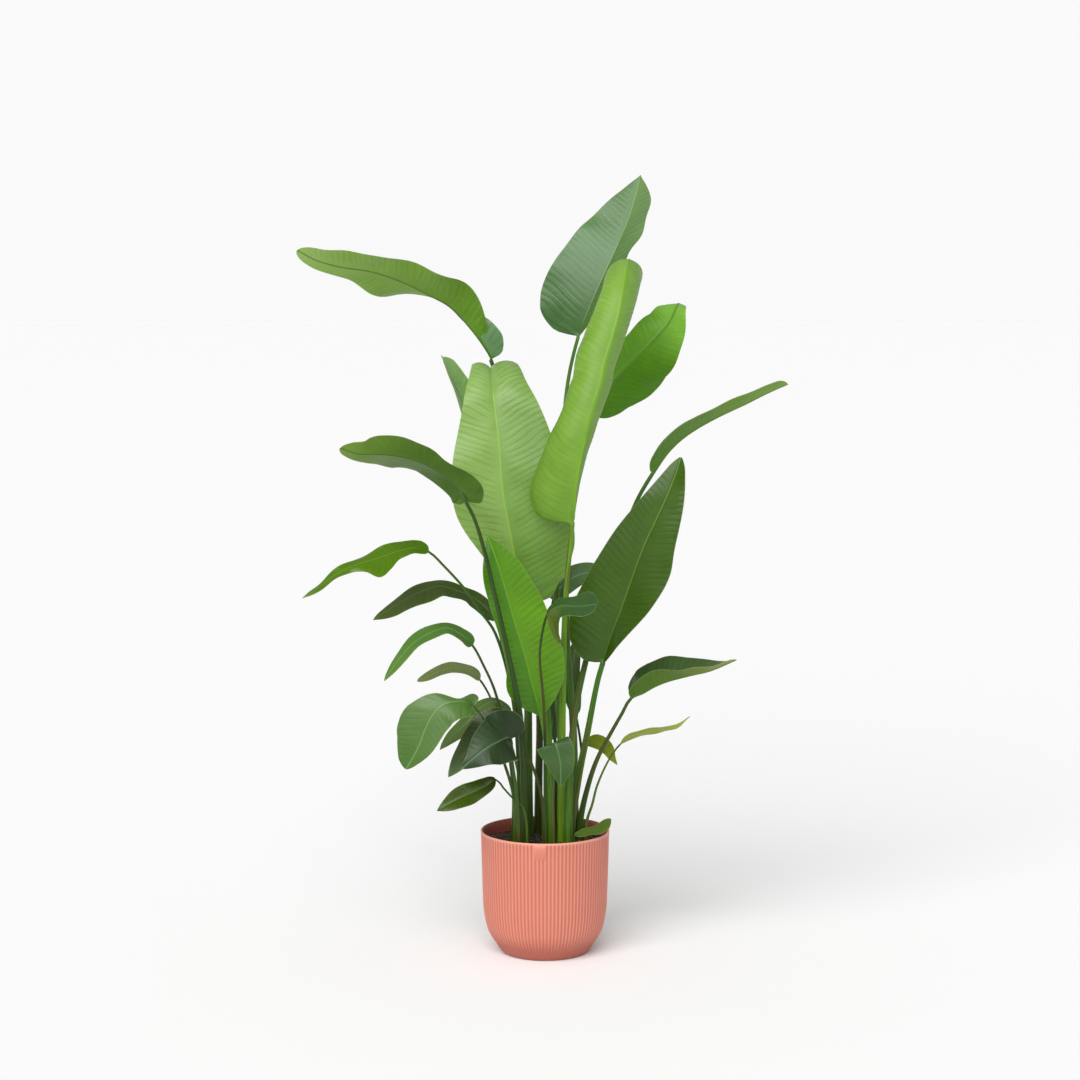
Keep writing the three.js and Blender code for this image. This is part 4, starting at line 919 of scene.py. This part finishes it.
grow_leaf(
    "behind_left",
    stalk=[[-38, -4, 160], [-34, -2, 262], [-43, -13, 351], [-59, -31, 412]],
    rib=[[-69, -39, 431], [-88, -49, 440], [-109, -63, 432], [-129, -75, 410], [-154, -84, 390],
        [-176, -90, 366]],
    face=[[-0.2, -0.6, 0.8], [-0.4, -0.6, 0.7], [-0.5, -0.6, 0.6]],
    width=[[8, 12, 20, 26, 25, 16, 2], [6, 8, 14, 16, 16, 12, 2]], fold=[[0], [5]],
    radius=[4, 2],
    upper=[[(76, 98, 54), (90, 112, 60)]], under=[[(104, 130, 76)]],
    midrib=(100, 122, 70), stalk_colour=(50, 80, 20),
)

grow_leaf(
    "dark_left",
    stalk=[[-44, -64, 160], [-47, -84, 279], [-55, -114, 353], [-57, -135, 393]],
    rib=[[-65, -149, 397], [-76, -162, 394], [-96, -171, 385], [-115, -176, 371], [-138, -177, 351]],
    face=[[-0.1, -0.95, 0.2], [-0.2, -0.97, 0.1], [-0.3, -0.95, 0.1]],
    width=[[36, 42, 38, 34, 24, 14, 2], [42, 48, 44, 34, 22, 10, 2]],
    lobe=[30, 8], wave=[2, 2], radius=[4.6, 2.2], pleat=0.3,
    upper=[[(20, 34, 12), (36, 54, 26), (28, 50, 18)], [(28, 42, 22), (50, 70, 42), (34, 58, 24)]],
    under=[[(86, 116, 70)]],
    midrib=(82, 112, 70), stalk_colour=(52, 80, 22),
)

grow_leaf(
    "shade_left",
    stalk=[[-2, -32, 160], [-5, -36, 269], [-20, -46, 326], [-41, -63, 374], [-60, -85, 402]],
    rib=[[-75, -106, 419], [-93, -112, 414], [-113, -116, 392], [-135, -120, 363], [-161, -122, 326]],
    face=[[0.2, -0.7, 0.6], [-0.3, -0.9, 0.3], [-0.5, -0.85, 0.2]],
    width=[[20, 28, 28, 24, 20, 14, 2], [16, 22, 24, 24, 20, 14, 2]],
    radius=[4, 2],
    upper=[[(36, 46, 16), (52, 66, 36), (86, 104, 70)]], under=[[(60, 84, 44)]],
    midrib=(74, 94, 60), stalk_colour=(66, 76, 20),
)

grow_leaf(
    "rim_left",
    stalk=[[-28, -70, 160], [-37, -70, 263], [-56, -74, 282], [-69, -77, 297], [-82, -82, 313]],
    rib=[[-99, -85, 303], [-122, -89, 292], [-149, -94, 281], [-181, -100, 264]],
    face=[[0, -0.75, 0.65], [-0.1, -0.8, 0.6], [-0.1, -0.85, 0.5]],
    width=[[8, 14, 17, 20, 18, 12, 1], [8, 16, 19, 21, 19, 11, 1]], fold=[[5]],
    radius=[2.6, 1.6], pleat=0.15,
    upper=[[(40, 56, 10), (62, 84, 12), (64, 86, 14)]], under=[[(96, 120, 50)]],
    midrib=(74, 94, 26), stalk_colour=(62, 84, 22),
)

# ---- The leaves in the middle ----
# Three leaves low at the front: one young, bright and smooth, and two that hang in front of it.

grow_leaf(
    "bright_middle",
    stalk=[[10, -26, 160], [8, -40, 287], [1, -62, 369], [-7, -76, 419]],
    rib=[[-20, -93, 471], [-33, -112, 526], [-48, -129, 579], [-66, -147, 646], [-79, -154, 691],
        [-95, -147, 733]],
    face=[[0.15, -0.97, 0.1], [0.1, -0.97, 0.1], [0.1, -0.97, 0.2]],
    width=[[6, 42, 34, 31, 32, 28, 2], [8, 50, 64, 60, 52, 36, 2]], fold=[[5, -5, 0], [20, 15, 20]],
    wave=[3, 4], radius=[6.5, 3], pleat=0.5, vein_lines_and_shade=0.35,
    # The upper side's vivid yellow-green is partly painted light shining through the leaf.
    upper=[[(62, 112, 8), (70, 124, 6), (62, 114, 8)], [(76, 126, 8), (90, 140, 12), (72, 122, 10)]],
    under=[[(104, 146, 60)]],
    midrib=(104, 156, 40), stalk_colour=(84, 130, 20),
)

grow_leaf(
    "small_middle",
    stalk=[[2, -52, 160], [0, -62, 292], [-2, -111, 440], [-9, -158, 537], [-4, -179, 581],
        [3, -190, 608]],
    rib=[[12, -200, 619], [27, -213, 626], [43, -225, 627], [59, -234, 628], [83, -243, 633]],
    face=[[0.2, -0.5, 0.8], [0.1, -0.62, 0.75], [0, -0.66, 0.72]],
    width=[[16, 22, 22, 24, 30, 30, 16], [60, 50, 28, 22, 22, 22, 12]],
    fold=[[10, 0], [-75, -40, 0, 0]],
    lobe=[2, 44], radius=[4, 2], pleat=0.15,
    upper=[[(52, 78, 40), (58, 84, 48)], [(80, 96, 18), (52, 80, 42), (58, 86, 50)]],
    under=[[(84, 108, 30), (78, 112, 60)]],
    midrib=(80, 112, 72), stalk_colour=(40, 66, 16),
)

grow_leaf(
    "hanging_middle",
    stalk=[[16, -56, 160], [13, -72, 277], [15, -88, 345], [13, -102, 375]],
    rib=[[15, -112, 382], [20, -117, 371], [25, -116, 350], [26, -110, 329], [26, -103, 304]],
    face=[[0, -0.5, 0.9], [0, -0.9, 0.4], [0, -1, 0.1], [0, -1, 0]],
    width=[[22, 27, 27, 24, 19, 10, 1], [27, 32, 29, 24, 18, 9, 1]],
    lobe=[5, 5], radius=[3.6, 2], pleat=0.25,
    upper=[[(44, 72, 30), (64, 90, 50), (48, 78, 32)]], under=[[(90, 124, 76)]],
    midrib=(86, 118, 68), stalk_colour=(50, 94, 52),
)

# ---- The leaves down the right side ----
# One broad hanging leaf that shows its folded blade, and five narrow ones that arch out and down.

grow_leaf(
    "right",
    stalk=[[50, -8, 160], [44, -8, 202], [56, -14, 299], [71, -23, 378], [89, -36, 475],
        [97, -40, 504]],
    rib=[[109, -47, 546], [125, -55, 592], [145, -64, 652], [164, -70, 706], [184, -70, 750],
        [202, -67, 789], [217, -61, 826], [226, -54, 853]],
    face=[[-0.2, -0.95, 0.1], [-0.2, -0.95, 0.1], [-0.2, -0.97, 0.1]],
    width=[[50, 78, 74, 62, 47, 30, 8], [16, 33, 56, 62, 49, 31, 8]], fold=[[5], [65, 30, 15, 15, 25]],
    lobe=[14, 2], wave=[2, 3], radius=[8.2, 4.4], pleat=0.4, vein_lines_and_shade=0.35,
    upper=[[(54, 84, 14), (58, 88, 18), (54, 86, 14)], [(50, 78, 12), (54, 82, 14), (58, 88, 18)]],
    under=[[(96, 132, 66)]],
    midrib=(88, 120, 38), stalk_colour=(58, 102, 22),
)

grow_leaf(
    "narrow_right",
    stalk=[[42, -40, 160], [39, -42, 236], [49, -28, 405], [69, 0, 501], [114, 22, 654], [154, 35, 767],
        [182, 42, 816]],
    rib=[[195, 43, 835], [209, 45, 853], [231, 48, 874], [260, 51, 894], [297, 53, 914], [340, 54, 934],
        [378, 54, 953], [412, 54, 968]],
    face=[[0.1, 0.37, 0.92], [0, 0.42, 0.91], [0, 0.38, 0.92]],
    width=[[26, 42, 50, 52, 50, 46, 36], [16, 28, 34, 34, 32, 28, 22]], fold=[[50, 30, 20], [15, 5, 5]],
    curl=[[20, 10], [10]],
    lobe=[2, 0], wave=[1, 3], radius=[8, 3.4], pleat=0.2,
    upper=[[(74, 112, 62), (86, 124, 64)]], under=[[(74, 112, 34), (90, 128, 42), (118, 150, 70)]],
    midrib=(92, 128, 52), stalk_colour=(58, 98, 26),
)

grow_leaf(
    "low_right",
    stalk=[[60, 12, 160], [60, 10, 219], [72, 4, 280], [88, -2, 331], [110, -9, 376], [129, -14, 411],
        [145, -20, 440]],
    rib=[[167, -22, 450], [186, -25, 461], [211, -31, 472], [244, -36, 482], [277, -42, 491],
        [321, -48, 511]],
    face=[[-0.1, 0.35, 0.9], [0, 0.35, 0.95], [0, 0.3, 0.95]],
    width=[[28, 46, 50, 46, 40, 30, 14], [22, 36, 38, 28, 22, 18, 12]],
    fold=[[80, 75, 65, 40, 20], [30, 25, 15, 5]],
    wave=[2, 3], radius=[6.6, 2.8], pleat=0.2,
    upper=[[(56, 78, 42), (68, 90, 50)]],
    under=[[(66, 98, 74), (72, 104, 50), (120, 140, 62)],
        [(70, 102, 30), (82, 112, 34), (132, 148, 62)]],
    midrib=(96, 124, 56), stalk_colour=(48, 80, 18),
)

grow_leaf(
    "yellow_right",
    stalk=[[70, -14, 160], [71, -16, 228], [80, -18, 257], [88, -22, 290], [108, -30, 337],
        [127, -36, 365]],
    rib=[[143, -39, 378], [169, -41, 385], [197, -44, 391], [222, -44, 396], [244, -45, 415]],
    face=[[0, -0.25, 0.97], [0, -0.2, 0.97], [-0.1, -0.2, 0.97]],
    width=[[6, 12, 14, 14, 10, 6, 1], [6, 12, 14, 12, 10, 6, 1]], fold=[[5]],
    wave=[1, 3], radius=[3.4, 1.6],
    upper=[[(132, 146, 66), (146, 156, 70)]], under=[[(132, 146, 76)]],
    midrib=(156, 164, 90), stalk_colour=(70, 98, 28),
)

grow_leaf(
    "olive_right",
    stalk=[[58, 36, 160], [55, 36, 254], [58, 32, 316], [72, 24, 352]],
    rib=[[82, 22, 356], [94, 18, 355], [106, 13, 345], [114, 10, 332], [123, 6, 321]],
    face=[[-0.2, -0.6, 0.8], [0.2, -0.7, 0.6], [0.4, -0.7, 0.5]],
    width=[[10, 18, 18, 16, 12, 7, 1], [6, 10, 12, 12, 8, 5, 1]],
    radius=[3, 1.6],
    upper=[[(102, 118, 24), (110, 124, 26)]], under=[[(116, 132, 60)]],
    midrib=(116, 132, 50), stalk_colour=(56, 80, 20),
)

grow_leaf(
    "rim_right",
    stalk=[[56, -50, 160], [50, -58, 212]],
    rib=[[59, -60, 216], [72, -62, 221], [89, -64, 224], [101, -66, 233], [111, -66, 243]],
    face=[[0, -0.5, 0.85]],
    width=[[4, 8, 10, 11, 12, 11, 3], [4, 8, 10, 11, 12, 12, 3]],
    radius=[2.4, 1.4],
    upper=[[(72, 90, 38), (82, 100, 44)]], under=[[(70, 110, 60)]],
    midrib=(66, 100, 52), stalk_colour=(46, 76, 28),
)

# ---- The leaves at the back ----
# Three leaves that stand in the shade behind the rest and show in the gaps between them.

grow_leaf(
    "gap_back",
    stalk=[[18, 62, 160], [19, 69, 299], [12, 98, 487], [14, 112, 590]],
    rib=[[26, 114, 611], [52, 120, 630], [92, 130, 637], [140, 140, 622]],
    face=[[-0.2, -0.8, 0.6], [0, -0.7, 0.7]],
    width=[[14, 22, 24, 22, 16, 8, 1]], fold=[[5]],
    radius=[4, 2], pleat=0.15,
    upper=[[(90, 118, 76), (104, 134, 90)]], under=[[(106, 136, 96)]],
    midrib=(134, 160, 134), stalk_colour=(50, 84, 24),
)

grow_leaf(
    "low_back",
    stalk=[[62, 52, 160], [55, 60, 249], [64, 71, 317], [54, 83, 393]],
    rib=[[49, 86, 419], [47, 92, 453], [49, 98, 487], [54, 107, 518], [57, 118, 540]],
    face=[[0, -0.9, 0.3]],
    width=[[8, 14, 16, 14, 12, 6, 1]], fold=[[15]],
    radius=[4, 2],
    upper=[[(64, 96, 44), (72, 98, 48), (92, 96, 56)]], under=[[(84, 110, 60)]],
    midrib=(96, 120, 66), stalk_colour=(44, 72, 18),
)

grow_leaf(
    "shade_back",
    stalk=[[-8, 74, 160], [5, 80, 280], [10, 90, 348]],
    rib=[[12, 92, 369], [14, 98, 396], [16, 106, 419], [18, 117, 449]],
    face=[[0, -0.9, 0.3]],
    width=[[10, 16, 18, 16, 12, 6, 1]], fold=[[10]],
    radius=[3.4, 1.8],
    upper=[[(66, 96, 66), (72, 102, 72)]], under=[[(80, 108, 76)]],
    midrib=(104, 130, 104), stalk_colour=(42, 68, 18),
)
